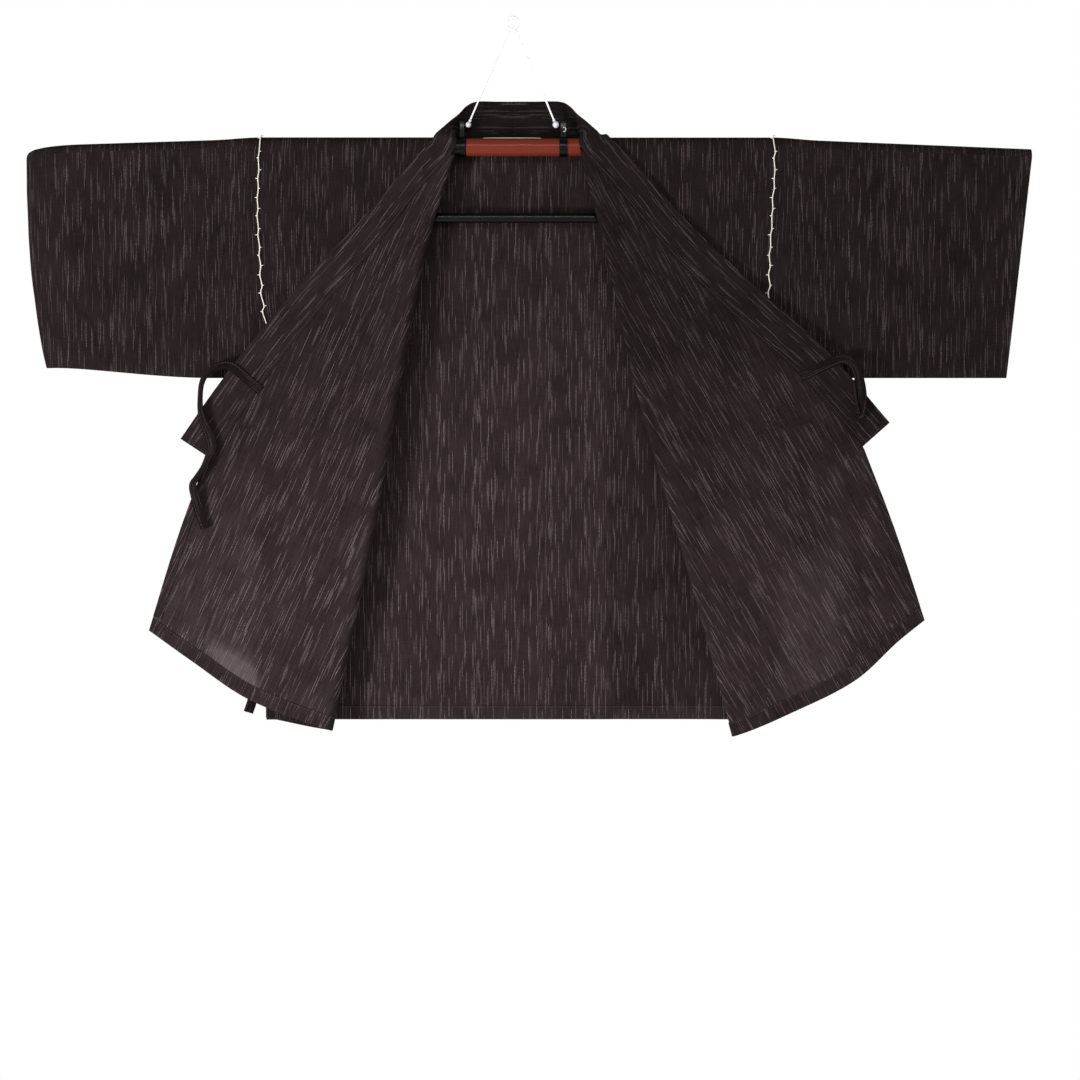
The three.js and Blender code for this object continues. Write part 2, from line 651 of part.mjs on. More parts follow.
// A clip round the tube with an ear that carries the bail.
function ear({ from, to }) {
  const shape = new THREE.Shape();
  const half = Math.asin(EAR_HALF / EAR_RADIUS);
  shape.absarc(0, AXIS_Z, EAR_RADIUS, Math.PI / 2 + half, Math.PI / 2 - half, false);
  shape.lineTo(EAR_HALF, EAR_TOP);
  shape.lineTo(-EAR_HALF, EAR_TOP);
  const hole = new THREE.Path().absarc(0, AXIS_Z, TUBE_RADIUS + SEAM_GAP, 0, 2 * Math.PI);
  shape.holes.push(hole);
  return plateX(shape, from, to - from);
}

// A plate that hangs the lower bar under an arm.
function link(from) {
  const shape = new THREE.Shape();
  const seat = Math.asin(LINK_WIDTH / 2 / (TUBE_RADIUS + SEAM_GAP));
  const foot = Math.asin(LINK_WIDTH / 2 / LINK_FOOT_RADIUS);
  shape.absarc(0, AXIS_Z, TUBE_RADIUS + SEAM_GAP, -Math.PI / 2 - seat, -Math.PI / 2 + seat, false);
  shape.absarc(0, BAR_Z, LINK_FOOT_RADIUS, Math.PI / 2 - foot, -1.5 * Math.PI + foot, true);
  shape.holes.push(new THREE.Path().absarc(0, BAR_Z, BAR_RADIUS + SEAM_GAP, 0, 2 * Math.PI));
  return plateX(shape, from, LINK_THICK);
}

function bead(seat) {
  const ball = new THREE.SphereGeometry(seat.beadRadius, 12, 8);
  ball.rotateX(Math.PI / 2);
  ball.translate(seat.beadX, 0, BEAD_Z);
  return ball;
}

function bailWire(seat) {
  const ringCentre = new THREE.Vector3(0, 0, -RING_INNER);
  const foot = new THREE.Vector3(seat.beadX, 0, BEAD_Z);
  const up = ringCentre.clone().sub(foot).normalize();
  const from = foot.clone().addScaledVector(up, seat.beadRadius + SEAM_GAP);
  const to = ringCentre.clone().addScaledVector(up, -(RING_INNER + 2 * RING_WIRE + SEAM_GAP));
  const rod = new THREE.CylinderGeometry(BAIL_WIRE, BAIL_WIRE, from.distanceTo(to), 10);
  rod.applyQuaternion(new THREE.Quaternion().setFromUnitVectors(new THREE.Vector3(0, 1, 0), up));
  const middle = from.add(to).multiplyScalar(0.5);
  rod.translate(middle.x, middle.y, middle.z);
  return rod;
}

function hangRing() {
  const ring = new THREE.TorusGeometry(RING_INNER + RING_WIRE, RING_WIRE, 8, 16);
  ring.rotateX(Math.PI / 2);
  ring.translate(0, 0, -RING_INNER);
  return ring;
}

const FINISH = {
  cloth: { color: 0x362c2d, roughness: 0.9, metalness: 0 },
  lace: { color: 0xe6dcc6, roughness: 0.8, metalness: 0 },
  label: { color: 0xf2f0ec, roughness: 0.7, metalness: 0 },
  red: { color: 0x7b372a, roughness: 0.5, metalness: 0 },
  black: { color: 0x1a1a1c, roughness: 0.5, metalness: 0 },
  white: { color: 0xf0f0f0, roughness: 0.35, metalness: 0 },
};

const jinbei = new THREE.Group();
function piece(name, geometry, finish) {
  const bare = new THREE.BufferGeometry();
  bare.setAttribute('position', geometry.getAttribute('position'));
  if (geometry.index) bare.setIndex(geometry.index);
  const merged = mergeVertices(bare, 1e-4);
  merged.computeVertexNormals();
  const mesh = new THREE.Mesh(merged, new THREE.MeshStandardMaterial(FINISH[finish]));
  mesh.name = name;
  jinbei.add(mesh);
}

piece('back', backWall(), 'cloth');
piece('hem_back', backHem(), 'cloth');
piece('neck_label', neckLabel(), 'label');
for (const name of ['left', 'right']) {
  const side = SIDES[name];
  piece(`front_${name}`, frontWall(side), 'cloth');
  piece(`hem_front_${name}`, frontHem(side), 'cloth');
  piece(`edge_front_${name}`, frontEdgeBand(side), 'cloth');
  piece(`collar_${name}`, collarHalf(side), 'cloth');
  piece(`sleeve_${name}`, sleeveWall(side), 'cloth');
  piece(`lacing_${name}`, lacing(side), 'lace');
}
piece('pocket', pocket(SIDES.right), 'cloth');
for (const [name, rows] of Object.entries(TIE_PATHS)) piece(name, strap(rows), 'cloth');

piece('hanger_tube', rodX(TUBE_LEFT, TUBE_RIGHT, TUBE_RADIUS, AXIS_Z), 'red');
piece('hanger_cap', rodX(CAP_LEFT, TUBE_LEFT - SEAM_GAP, TUBE_RADIUS, AXIS_Z), 'black');
piece('arm_inner_left', rodX(SIDES.left.sideX, CAP_LEFT - SEAM_GAP, TUBE_RADIUS, AXIS_Z), 'black');
piece('arm_inner_right', rodX(TUBE_RIGHT + SEAM_GAP, SIDES.right.sideX, TUBE_RADIUS, AXIS_Z), 'black');
piece('arm_outer_left', outerArm(SIDES.left, ARM_END_LEFT), 'black');
piece('arm_outer_right', outerArm(SIDES.right, ARM_END_RIGHT), 'black');
piece('lower_bar', rodX(-BAR_HALF, BAR_HALF, BAR_RADIUS, BAR_Z, 16), 'black');
piece('bar_link_left', link(-BAR_HALF + LINK_INSET), 'black');
piece('bar_link_right', link(BAR_HALF - LINK_INSET - LINK_THICK), 'black');
for (const [name, seat] of Object.entries(EARS)) {
  piece(`clip_${name}`, ear(seat), 'black');
  piece(`bead_${name}`, bead(seat), 'white');
  piece(`bail_wire_${name}`, bailWire(seat), 'white');
}
piece('hang_ring', hangRing(), 'white');

export default jinbei;
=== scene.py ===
"""A jinbei jacket hung flat on a kimono hanger, both fronts turned back over the shoulders.

X runs to the viewer's right, Y away from the viewer and Z up; left and right are the viewer's.
The cloth is worked out in millimetres, as it is cut, and MM turns each piece into metres.
"""
import json
import math
from functools import partial

import bpy
import numpy as np
from mathutils import Vector
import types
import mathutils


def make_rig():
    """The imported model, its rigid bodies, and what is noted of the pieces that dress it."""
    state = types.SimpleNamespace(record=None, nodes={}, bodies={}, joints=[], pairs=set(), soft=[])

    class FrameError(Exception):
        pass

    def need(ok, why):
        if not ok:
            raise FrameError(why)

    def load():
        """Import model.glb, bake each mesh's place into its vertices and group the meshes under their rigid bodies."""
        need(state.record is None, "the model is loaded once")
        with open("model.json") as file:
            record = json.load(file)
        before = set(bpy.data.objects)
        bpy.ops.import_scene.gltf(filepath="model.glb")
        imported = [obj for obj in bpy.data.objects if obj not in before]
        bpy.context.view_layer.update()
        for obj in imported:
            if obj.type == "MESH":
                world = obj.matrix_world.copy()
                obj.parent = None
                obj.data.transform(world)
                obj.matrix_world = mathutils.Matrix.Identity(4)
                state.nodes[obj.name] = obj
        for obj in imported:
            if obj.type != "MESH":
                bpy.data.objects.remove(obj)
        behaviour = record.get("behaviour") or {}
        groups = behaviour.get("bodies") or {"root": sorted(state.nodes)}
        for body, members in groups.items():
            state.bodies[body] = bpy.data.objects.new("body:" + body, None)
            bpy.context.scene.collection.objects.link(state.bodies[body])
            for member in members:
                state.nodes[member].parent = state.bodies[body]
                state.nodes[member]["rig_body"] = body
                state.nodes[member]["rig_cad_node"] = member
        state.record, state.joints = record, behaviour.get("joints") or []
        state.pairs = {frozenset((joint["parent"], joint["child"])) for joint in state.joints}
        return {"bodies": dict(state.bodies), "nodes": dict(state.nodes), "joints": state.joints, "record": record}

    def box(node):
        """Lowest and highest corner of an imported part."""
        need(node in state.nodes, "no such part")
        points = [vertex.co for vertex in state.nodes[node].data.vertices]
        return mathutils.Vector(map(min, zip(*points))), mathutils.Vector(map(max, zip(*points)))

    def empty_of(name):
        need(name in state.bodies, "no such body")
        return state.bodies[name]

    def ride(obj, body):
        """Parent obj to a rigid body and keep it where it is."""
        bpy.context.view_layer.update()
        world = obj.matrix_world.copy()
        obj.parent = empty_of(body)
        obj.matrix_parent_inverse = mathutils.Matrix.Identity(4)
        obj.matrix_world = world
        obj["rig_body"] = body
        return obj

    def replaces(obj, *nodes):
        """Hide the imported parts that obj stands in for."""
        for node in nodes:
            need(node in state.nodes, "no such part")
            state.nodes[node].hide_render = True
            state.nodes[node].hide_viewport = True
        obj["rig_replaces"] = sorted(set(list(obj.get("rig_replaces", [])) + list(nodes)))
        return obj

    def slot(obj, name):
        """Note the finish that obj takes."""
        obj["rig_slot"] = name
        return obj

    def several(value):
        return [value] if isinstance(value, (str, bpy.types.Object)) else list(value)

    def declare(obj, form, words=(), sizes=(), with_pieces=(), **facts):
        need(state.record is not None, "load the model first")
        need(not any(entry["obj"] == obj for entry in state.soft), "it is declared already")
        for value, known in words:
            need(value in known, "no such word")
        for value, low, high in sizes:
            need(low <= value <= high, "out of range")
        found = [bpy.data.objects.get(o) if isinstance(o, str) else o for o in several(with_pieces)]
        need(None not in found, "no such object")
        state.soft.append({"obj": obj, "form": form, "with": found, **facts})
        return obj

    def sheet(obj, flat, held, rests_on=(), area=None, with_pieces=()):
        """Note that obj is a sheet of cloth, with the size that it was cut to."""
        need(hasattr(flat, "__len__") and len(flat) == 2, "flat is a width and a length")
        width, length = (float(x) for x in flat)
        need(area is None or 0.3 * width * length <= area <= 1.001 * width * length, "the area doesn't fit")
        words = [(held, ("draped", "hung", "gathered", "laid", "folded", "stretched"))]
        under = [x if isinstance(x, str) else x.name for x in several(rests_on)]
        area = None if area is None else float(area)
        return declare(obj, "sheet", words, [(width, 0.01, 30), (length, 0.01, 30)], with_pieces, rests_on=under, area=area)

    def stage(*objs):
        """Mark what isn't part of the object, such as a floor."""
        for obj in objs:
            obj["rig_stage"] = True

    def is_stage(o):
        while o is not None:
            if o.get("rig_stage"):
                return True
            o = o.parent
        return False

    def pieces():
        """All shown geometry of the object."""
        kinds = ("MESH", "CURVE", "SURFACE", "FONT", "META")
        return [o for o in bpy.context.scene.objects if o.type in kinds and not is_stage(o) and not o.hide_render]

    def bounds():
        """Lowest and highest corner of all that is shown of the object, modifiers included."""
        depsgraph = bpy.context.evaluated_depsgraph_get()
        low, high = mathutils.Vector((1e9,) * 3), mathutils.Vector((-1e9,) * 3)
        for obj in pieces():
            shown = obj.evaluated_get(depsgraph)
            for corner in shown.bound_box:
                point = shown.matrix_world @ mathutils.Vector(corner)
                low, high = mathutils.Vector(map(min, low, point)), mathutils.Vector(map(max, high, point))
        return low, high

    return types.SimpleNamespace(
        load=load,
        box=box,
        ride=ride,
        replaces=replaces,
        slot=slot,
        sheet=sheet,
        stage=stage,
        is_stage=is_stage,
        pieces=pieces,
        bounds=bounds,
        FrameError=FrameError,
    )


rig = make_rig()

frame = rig.load()
cad_low, cad_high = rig.bounds()

MM = 0.001

# Lengths and places are in millimetres; scales, rows and columns are plain numbers.

# Cloth
SHELL = 0.8
BAND_SHELL = 0.8
COLLAR_SHELL = 1.1
STRAP_SHELL = 1.0
BAND_LIFT = SHELL / 2 + BAND_SHELL / 2 + 0.03
COLLAR_LIFT = SHELL / 2 + COLLAR_SHELL / 2 + 0.05
SEAM_GAP = 0.3

# Hanger
TUBE_RADIUS = 11
AXIS_Z = -158.6
BAR_RADIUS = 6
BAR_Z = -245.6
CAP_GROOVE = (-70, -68.6, -67.2)
GROOVE_SCALE = 0.955
CLIP_RADIUS = 12.2
CLIP_WALL = 0.9
EAR_FOOT = 12
RING_Z = -6
RING_RADIUS = 7.5
RING_WIRE = 1.5
BAIL_WIRE = 1.1
BAIL_BOW = 0.5
WIRE_COLLAR = 1.7

# Jacket
SHOULDER_RADIUS = 11.9
SLEEVE_RADIUS = 10.4
SHOULDER_SEAM_TURN = 130
SHOULDER_RISE = SHOULDER_RADIUS * math.radians(180 - SHOULDER_SEAM_TURN) - 0.1
NECK_DEPTH = 13.2
NECK_TOP = -146.3
CHEST_DEPTH = 10.5
SIDE_SEAM_DEPTH = SHELL / 2 + 0.05
SIDE_REACH = 110
SLEEVE_DROP = 282
SLEEVE_FOLD_RADIUS = 1.6
ARMHOLE_DROP = 290
VENT_TOP = 552
VENT_FLARE = 3
TURNED_DEPTH = 13.9
SETTLE_LENGTH = 35
FREE_LENGTH = 30
FREE_LIFT = 0.7
BOW_FALLOFF = 70
TOP_ROLL = 2
HEM_DOWN = 712
HEM_HEIGHT = 16.6
BACK_HEM_DROP = 862.5 + AXIS_Z
EDGE_BAND_WIDTH = 11
SEAM_ALLOWANCE = 2.5
POCKET_IN, POCKET_DOWN = (-60, 75), (420, 570)
PUSH_OUT = (18, 90)
BACK_CREASE = {"step": 3, "x": (112, 128), "fade": (220, 300), "drop": (120, 260)}
LABEL_X, LABEL_TOP, LABEL_BULGE, LABEL_SHELL = (-36, 35), -10.9, 0.3, 0.5
TIE_WIDTH = 12
TIE_CUP = 0.16
COLLAR_OVERLAP = 0.9

# Rows of the turned bands, from the fold inwards, and the columns of a front from its side seam
HEM_ROWS = (0, 0.25, 1.2, 6, 11, 15.4, HEM_HEIGHT)
EDGE_ROWS = (0.05, 0.3, 1.2, 5, 9.6, EDGE_BAND_WIDTH)
BODY_COLUMNS, ROLL_COLUMNS, FLAT_COLUMNS = 41, 15, 47

# Stitches: their place and form, with each ring's place along the stitch and its size
HEM_STITCH_ROW = 5
EDGE_STITCH_ROW = 4
SLEEVE_STITCH_ROW = -3
STITCH_STEP = 3.2
STITCH_LENGTH = 2.1
STITCH_SIDES = 6
STITCH_RINGS = ((-0.5, 0.35), (-0.32, 1), (0.32, 1), (0.5, 0.35))
STITCH_HALF_WIDTH, STITCH_HALF_HEIGHT = 0.3, 0.24
STITCH_LIFT, COLLAR_STITCH_LIFT, TIE_STITCH_LIFT = 0.12, 0.1, 0.08

# Painted shade beside the folds, near the neck and on the collar behind: how much, and where it rises or fades
FRONT_SHADE_FADE = (140, 620)
NECK_SHADE = {"level": 0.34, "fade": (20, 430)}
FOLD_SHADE = {"level": 0.22, "x": (119, 127), "drop": (60, 190)}
COLLAR_BACK_SHADE = {"level": 0.45, "y": (-8, 6)}

# What differs from side to side. The tables give the neck seam, the free edge, the hem and the
# collar's width by how far in and down from the neck point they lie on the flat cloth, and how
# far the fold bows along its length.
# neck_shade and collar_shade say how much painted shade each side's front and collar take; the right takes more.
SIDES = {
    "left": {
        "name": "left", "inward": 1, "neck_x": -70.3, "neck_z": -162, "side_x": -303,
        "lean": 12.1, "roll_end": 9, "collar_short": 2.5, "neck_shade": 0.27, "collar_shade": 0.04,
        "centre_x": 3.0, "centre_behind": 1.4, "through_fade": (70, 230),
        "seam": {"down": (0, 53, 90, 153, 234, 320, 400, 473), "in": (0, 17, 25, 41, 68, 92, 109, 121)},
        "edge": {"down": (473, 492, 580, 693), "in": (121, 124, 118, 104)},
        "hem": {"in": (-235, -150, -43, 40, 104), "down": (697, 713, 720, 706, 693)},
        "collar": {"down": (0, 53, 153, 320, 473), "wide": (32, 31, 37, 41, 45)},
        "bow": {"along": (0, 60, 140, 240, 360, 480, 740), "shift": (0, -7, -11, -8, -4, 0, 0)},
        "sleeve_x": -307.5, "sleeve_length": 304, "slant": 33, "slant_power": 2.4, "slope": 0.032,
        "bottom_rise": 13, "curl_start": 222, "curl_radius": 70,
    },
    "right": {
        "name": "right", "inward": -1, "neck_x": 83.8, "neck_z": -158.3, "side_x": 313,
        "lean": 14.6, "roll_end": 4, "collar_short": 0.5, "neck_shade": 0.5, "collar_shade": 0.3,
        "centre_x": -0.05, "centre_behind": 0.0, "through_fade": (120, 200),
        "seam": {"down": (0, 40, 85, 153, 230, 301, 378, 492), "in": (0, 11, 20, 32, 52, 75, 101, 126)},
        "edge": {"down": (492, 600, 714), "in": (126, 110, 88)},
        "hem": {"in": (-232, -187, -106, -22, 47, 88), "down": (705, 724, 734, 737, 721, 714)},
        "collar": {"down": (0, 85, 153, 301, 492), "wide": (35, 38, 41, 45, 44)},
        "bow": {"along": (0, 160, 300, 400, 560, 740), "shift": (0, 2, 8, 7, 2, 0)},
        "sleeve_x": 317.5, "sleeve_length": 320, "slant": 30, "slant_power": 1, "slope": 0.041,
        "bottom_rise": 0, "curl_start": 400, "curl_radius": 70,
    },
}

# The collar over the neck: how far in from the neck point, depth and height of the sewn edge,
# the middle and the free edge, from the centre back to the neck point.
NECK_COLLAR = [
    {"seam": (16, 13.2, -147.4), "mid": (21, 13.6, -123.5), "free": (26, 12.4, -100.8)},
    {"seam": (6.5, 13.1, -147.3), "mid": (11, 12.5, -126), "free": (14, 9.5, -106.5)},
    {"seam": (1.4, 10, -147.8), "mid": (4.2, 8.6, -130), "free": (4.5, 4.5, -117)},
    {"seam": (1.0, 5, -147.0), "mid": (-0.5, 3.4, -134), "free": (-5, -2.5, -125.5)},
    {"seam": (1.0, -1.5, -146.6), "mid": (-3.6, -3.6, -138.2), "free": (-13, -8.5, -133)},
    {"seam": (1.2, -8.2, -149.0), "mid": (-6, -11.6, -143.8), "free": (-20, -14, -140)},
    {"seam": (1.2, -11.9, -156.0), "mid": (-7.8, -15.6, -150), "free": (-24.6, -16.2, -144.8)},
]

# How the laced seam wanders as it drops from the shoulder, off the straight line of its middle.
ARMHOLE_SEAM = {
    "left": {
        "drop": (0, 4, 16, 43, 67, 91, 125, 157, 188, 224, 282),
        "shift": (-3.5, -5.4, -5.8, -6.5, -7.2, -7.2, -5.4, -3.8, -1.9, 2, 2),
    },
    "right": {
        "drop": (0, 4, 19, 40, 66, 86, 110, 130, 176, 282),
        "shift": (5, 6.4, 5.8, 6.2, 4, 3.4, 1.9, 0.6, -0.1, -0.5),
    },
}
SEAM_HALF = 0.35
SEAM_REACH = 60
REAR_OFFSET = 1.6

# Straps: x, y, z of the middle line and how far the strap is turned edge-on, in degrees.
TIE_PATHS = {
    "tie_collar_left": [
        (-308, -15.3, -459, 0), (-324.5, -15.3, -445, 0), (-341, -15.6, -431, 0),
        (-352, -17.2, -427.6, 26), (-364, -19.2, -431, 50), (-374.3, -21, -438.8, 62),
        (-380, -22.3, -450.3, 70), (-381.8, -22.5, -466.8, 72), (-381.4, -22.3, -483.1, 66),
        (-378.2, -21.8, -496.8, 52), (-370.8, -21.4, -513.3, 34), (-367.6, -21.4, -526, 26),
        (-368.4, -21.6, -533, 38), (-377, -22.2, -551.5, 64), (-385.7, -22.4, -565.2, 64),
        (-391, -22.2, -574.7, 54), (-387.3, -21.6, -590, 26), (-381.8, -20.8, -609.7, 8),
        (-375.6, -20, -627.5, 6),
    ],
    "tie_collar_right": [
        (353, -15.3, -441.8, 0), (376, -15.3, -431, 0), (399, -16, -421, 0), (409, -18, -420.6, 5),
        (417.5, -20.5, -427, 8), (423, -22.2, -440, 6), (426.6, -22.8, -456, 0),
        (427.8, -22.6, -472, 0), (426, -22.2, -484.5, 0), (424.6, -20.8, -488, 0),
        (422.6, -19.4, -483, 0), (419.6, -18.6, -466, 0), (417, -18, -446, 0),
    ],
    "tie_side_left": [
        (-304, 0, -553, 0), (-309, -1, -553.4, 0), (-315, -2.5, -560, 0), (-318, -4, -580, 0),
        (-319, -5, -640, 0), (-322, -5, -700, 0), (-321, -5, -750, 5), (-317, -5, -805, 8),
        (-319, -5, -835, 0), (-324.5, -5, -853.5, 0),
    ],
    "tie_side_right": [
        (304, 0, -553, 0), (290, 0, -560, 0), (283, 0, -585, 0), (281, 0, -650, 0),
        (280, 0, -730, 0), (281, 0, -830, 0),
    ],
}

# Soft creases: both ends as x and z, height towards the viewer, and half width.
CREASES = {
    "front_left": [
        {"start": (-300, -470), "end": (-245, -700), "height": 1.3, "width": 12},
        {"start": (-262, -390), "end": (-190, -560), "height": 1.1, "width": 16},
        {"start": (-350, -640), "end": (-392, -760), "height": 1.2, "width": 11},
        {"start": (-330, -560), "end": (-318, -790), "height": 1.0, "width": 7},
        {"start": (-240, -560), "end": (-232, -800), "height": 0.9, "width": 13},
        {"start": (-180, -300), "end": (-160, -470), "height": 0.8, "width": 12},
    ],
    "front_right": [
        {"start": (330, -430), "end": (280, -600), "height": 1.2, "width": 14},
        {"start": (400, -520), "end": (418, -700), "height": 1.3, "width": 12},
        {"start": (235, -330), "end": (262, -520), "height": 0.9, "width": 14},
        {"start": (340, -640), "end": (335, -820), "height": 1.1, "width": 15},
        {"start": (462, -570), "end": (440, -640), "height": 1.5, "width": 8},
        {"start": (170, -260), "end": (212, -420), "height": 0.8, "width": 11},
    ],
    "body_left": [
        {"start": (-292, -190), "end": (-240, -330), "height": 0.9, "width": 13},
        {"start": (-180, -165), "end": (-205, -250), "height": 0.7, "width": 10},
    ],
    "body_right": [
        {"start": (298, -190), "end": (262, -300), "height": 0.9, "width": 12},
        {"start": (190, -165), "end": (204, -240), "height": 0.7, "width": 10},
    ],
    "back": [
        {"start": (-76, -240), "end": (-74, -850), "height": 0.7, "width": 4},
        {"start": (-40, -500), "end": (-52, -800), "height": -1.2, "width": 22},
        {"start": (40, -330), "end": (34, -620), "height": 0.9, "width": 24},
        {"start": (90, -560), "end": (82, -850), "height": -1.0, "width": 16},
        {"start": (-120, -420), "end": (-112, -760), "height": 1.0, "width": 18},
        {"start": (-250, -230), "end": (-180, -480), "height": -1.4, "width": 18},
        {"start": (255, -230), "end": (205, -470), "height": -1.4, "width": 16},
        {"start": (-10, -640), "end": (6, -860), "height": 1.0, "width": 14},
    ],
    "sleeve_left": [
        {"start": (-505, -262), "end": (-345, -415), "height": -3.0, "width": 22},
        {"start": (-560, -200), "end": (-552, -340), "height": -1.6, "width": 9},
        {"start": (-420, -175), "end": (-450, -290), "height": 0.9, "width": 14},
        {"start": (-360, -200), "end": (-352, -330), "height": -1.0, "width": 13},
    ],
    "sleeve_right": [
        {"start": (508, -362), "end": (632, -266), "height": -2.2, "width": 20},
        {"start": (362, -190), "end": (395, -330), "height": 1.0, "width": 14},
        {"start": (470, -180), "end": (455, -300), "height": 0.9, "width": 12},
        {"start": (560, -200), "end": (585, -420), "height": -1.0, "width": 14},
    ],
}


# Reading tables and blending values
def soft(value, start, end):
    t = np.clip((np.asarray(value, float) - start) / (end - start), 0, 1)
    return t * t * (3 - 2 * t)


def lerp(a, b, t):
    return a + (b - a) * t


def within(value, rise, fall):
    """1 between two limits, rising softly over the first pair and falling over the second."""
    return soft(value, *rise) * (1 - soft(value, *fall))


def cubic(t, a, b, slope_a, slope_b):
    """From a to b as t runs from 0 to 1, leaving and arriving with the given slopes."""
    return ((2 * t**3 - 3 * t**2 + 1) * a + (t**3 - 2 * t**2 + t) * slope_a
            + (3 * t**2 - 2 * t**3) * b + (t**3 - t**2) * slope_b)


def read(table, key, value, column):
    """A column of a table at a value of another, along a smooth curve through its rows."""
    xs, ys = np.array(table[key], float), np.array(table[column], float)
    slopes = np.empty_like(ys)
    slopes[1:-1] = (ys[2:] - ys[:-2]) / (xs[2:] - xs[:-2])
    slopes[0] = (ys[1] - ys[0]) / (xs[1] - xs[0])
    slopes[-1] = (ys[-1] - ys[-2]) / (xs[-1] - xs[-2])
    value = np.asarray(value, float)
    row = np.clip(np.searchsorted(xs, value, side="right") - 1, 0, len(xs) - 2)
    span = xs[row + 1] - xs[row]
    t = np.clip((value - xs[row]) / span, 0, 1)
    return cubic(t, ys[row], ys[row + 1], span * slopes[row], span * slopes[row + 1])


def finer(values, step):
    """The same row of values with more between them, none further apart than step."""
    out = [values[0]]
    for a, b in zip(values, values[1:]):
        out.extend(np.linspace(a, b, max(1, math.ceil(abs(b - a) / step)) + 1)[1:])
    return np.array(out)


def smooth_through(rows, per_span):
    """A smooth curve through rows of numbers or points, per_span steps between each two."""
    rows = np.array(rows, float)
    slopes = np.gradient(rows, axis=0)
    out = []
    for i in range(len(rows) - 1):
        for t in np.linspace(0, 1, per_span, endpoint=False):
            out.append(cubic(t, rows[i], rows[i + 1], slopes[i], slopes[i + 1]))
    out.append(rows[-1])
    return np.array(out)


def lengths_along(points):
    """How far along a line of points each of them lies."""
    return np.concatenate([[0], np.cumsum(np.linalg.norm(np.diff(points, axis=0), axis=1))])


def in_two(rows):
    """Rows of pairs as two arrays, one of the first values and one of the second."""
    return np.array([row[0] for row in rows]), np.array([row[1] for row in rows])


# The hung form of the jacket, as functions of the flat cloth
def armhole_depth(drop):
    open_part = 1 - np.clip(drop / ARMHOLE_DROP, 0, 1) ** 1.5
    flare = VENT_FLARE * soft(drop, VENT_TOP, VENT_TOP + 150)
    return SIDE_SEAM_DEPTH + (SHOULDER_RADIUS - SIDE_SEAM_DEPTH) * open_part + flare


def body_depth(x, drop):
    from_side = np.maximum(0, np.minimum(x - SIDES["left"]["side_x"], SIDES["right"]["side_x"] - x))
    centre = lerp(SHOULDER_RADIUS, CHEST_DEPTH, soft(drop, 0, 70))
    spread = np.sin(math.pi / 2 * np.minimum(1, from_side / SIDE_REACH))
    return lerp(armhole_depth(drop), centre, spread)


def ripple(x, z, seed):
    """Slight unevenness that keeps a hung panel from lying dead flat, in millimetres."""
    total = 0
    for length, turn, height in ((170, 15, 0.45), (110, 70, 0.28), (74, -25, 0.2), (52, 50, 0.12)):
        angle = math.radians(turn + 37 * seed)
        total = total + height * np.sin((x * math.cos(angle) + z * math.sin(angle))
                                        * 2 * math.pi / length + 1.7 * seed + turn)
    return total


def to_seam(side, points, is_sleeve):
    """Leads a panel's edge to the laced seam; behind, the seam lies a little further out."""
    edge = side["sleeve_x"] if is_sleeve else side["side_x"]
    x, y, z = points[..., 0], points[..., 1], points[..., 2]
    drop = AXIS_Z - z
    middle = (side["side_x"] + side["sleeve_x"]) / 2
    shift = read(ARMHOLE_SEAM[side["name"]], "drop", np.clip(drop, 0, SLEEVE_DROP), "shift")
    gap = (-SEAM_HALF if is_sleeve else SEAM_HALF) - REAR_OFFSET * soft(y, -3, 3)
    near = (1 - np.clip(np.abs(x - edge) / SEAM_REACH, 0, 1)) ** 2
    near = near * (1 - soft(drop, SLEEVE_DROP - 20, SLEEVE_DROP + 14))
    return np.stack([x + near * (middle + shift + side["inward"] * gap - edge), y, z], axis=-1)


def crease_height(name, x, z):
    total = np.zeros(np.shape(x))
    for row in CREASES[name]:
        start, end = np.array(row["start"], float), np.array(row["end"], float)
        line = end - start
        t = ((x - start[0]) * line[0] + (z - start[1]) * line[1]) / (line @ line)
        near = np.clip(t, 0, 1)
        away = np.hypot(x - start[0] - near * line[0], z - start[1] - near * line[1])
        ends = within(t, (-0.15, 0.3), (0.7, 1.15))
        total = total + row["height"] * np.exp(-((away / row["width"]) ** 2)) * ends
    return total


def lean_of(side):
    return math.sin(math.radians(side["lean"])), math.cos(math.radians(side["lean"]))


def roll_radius(side, along):
    return TOP_ROLL + (side["roll_end"] - TOP_ROLL) * soft(along, 0, 260)


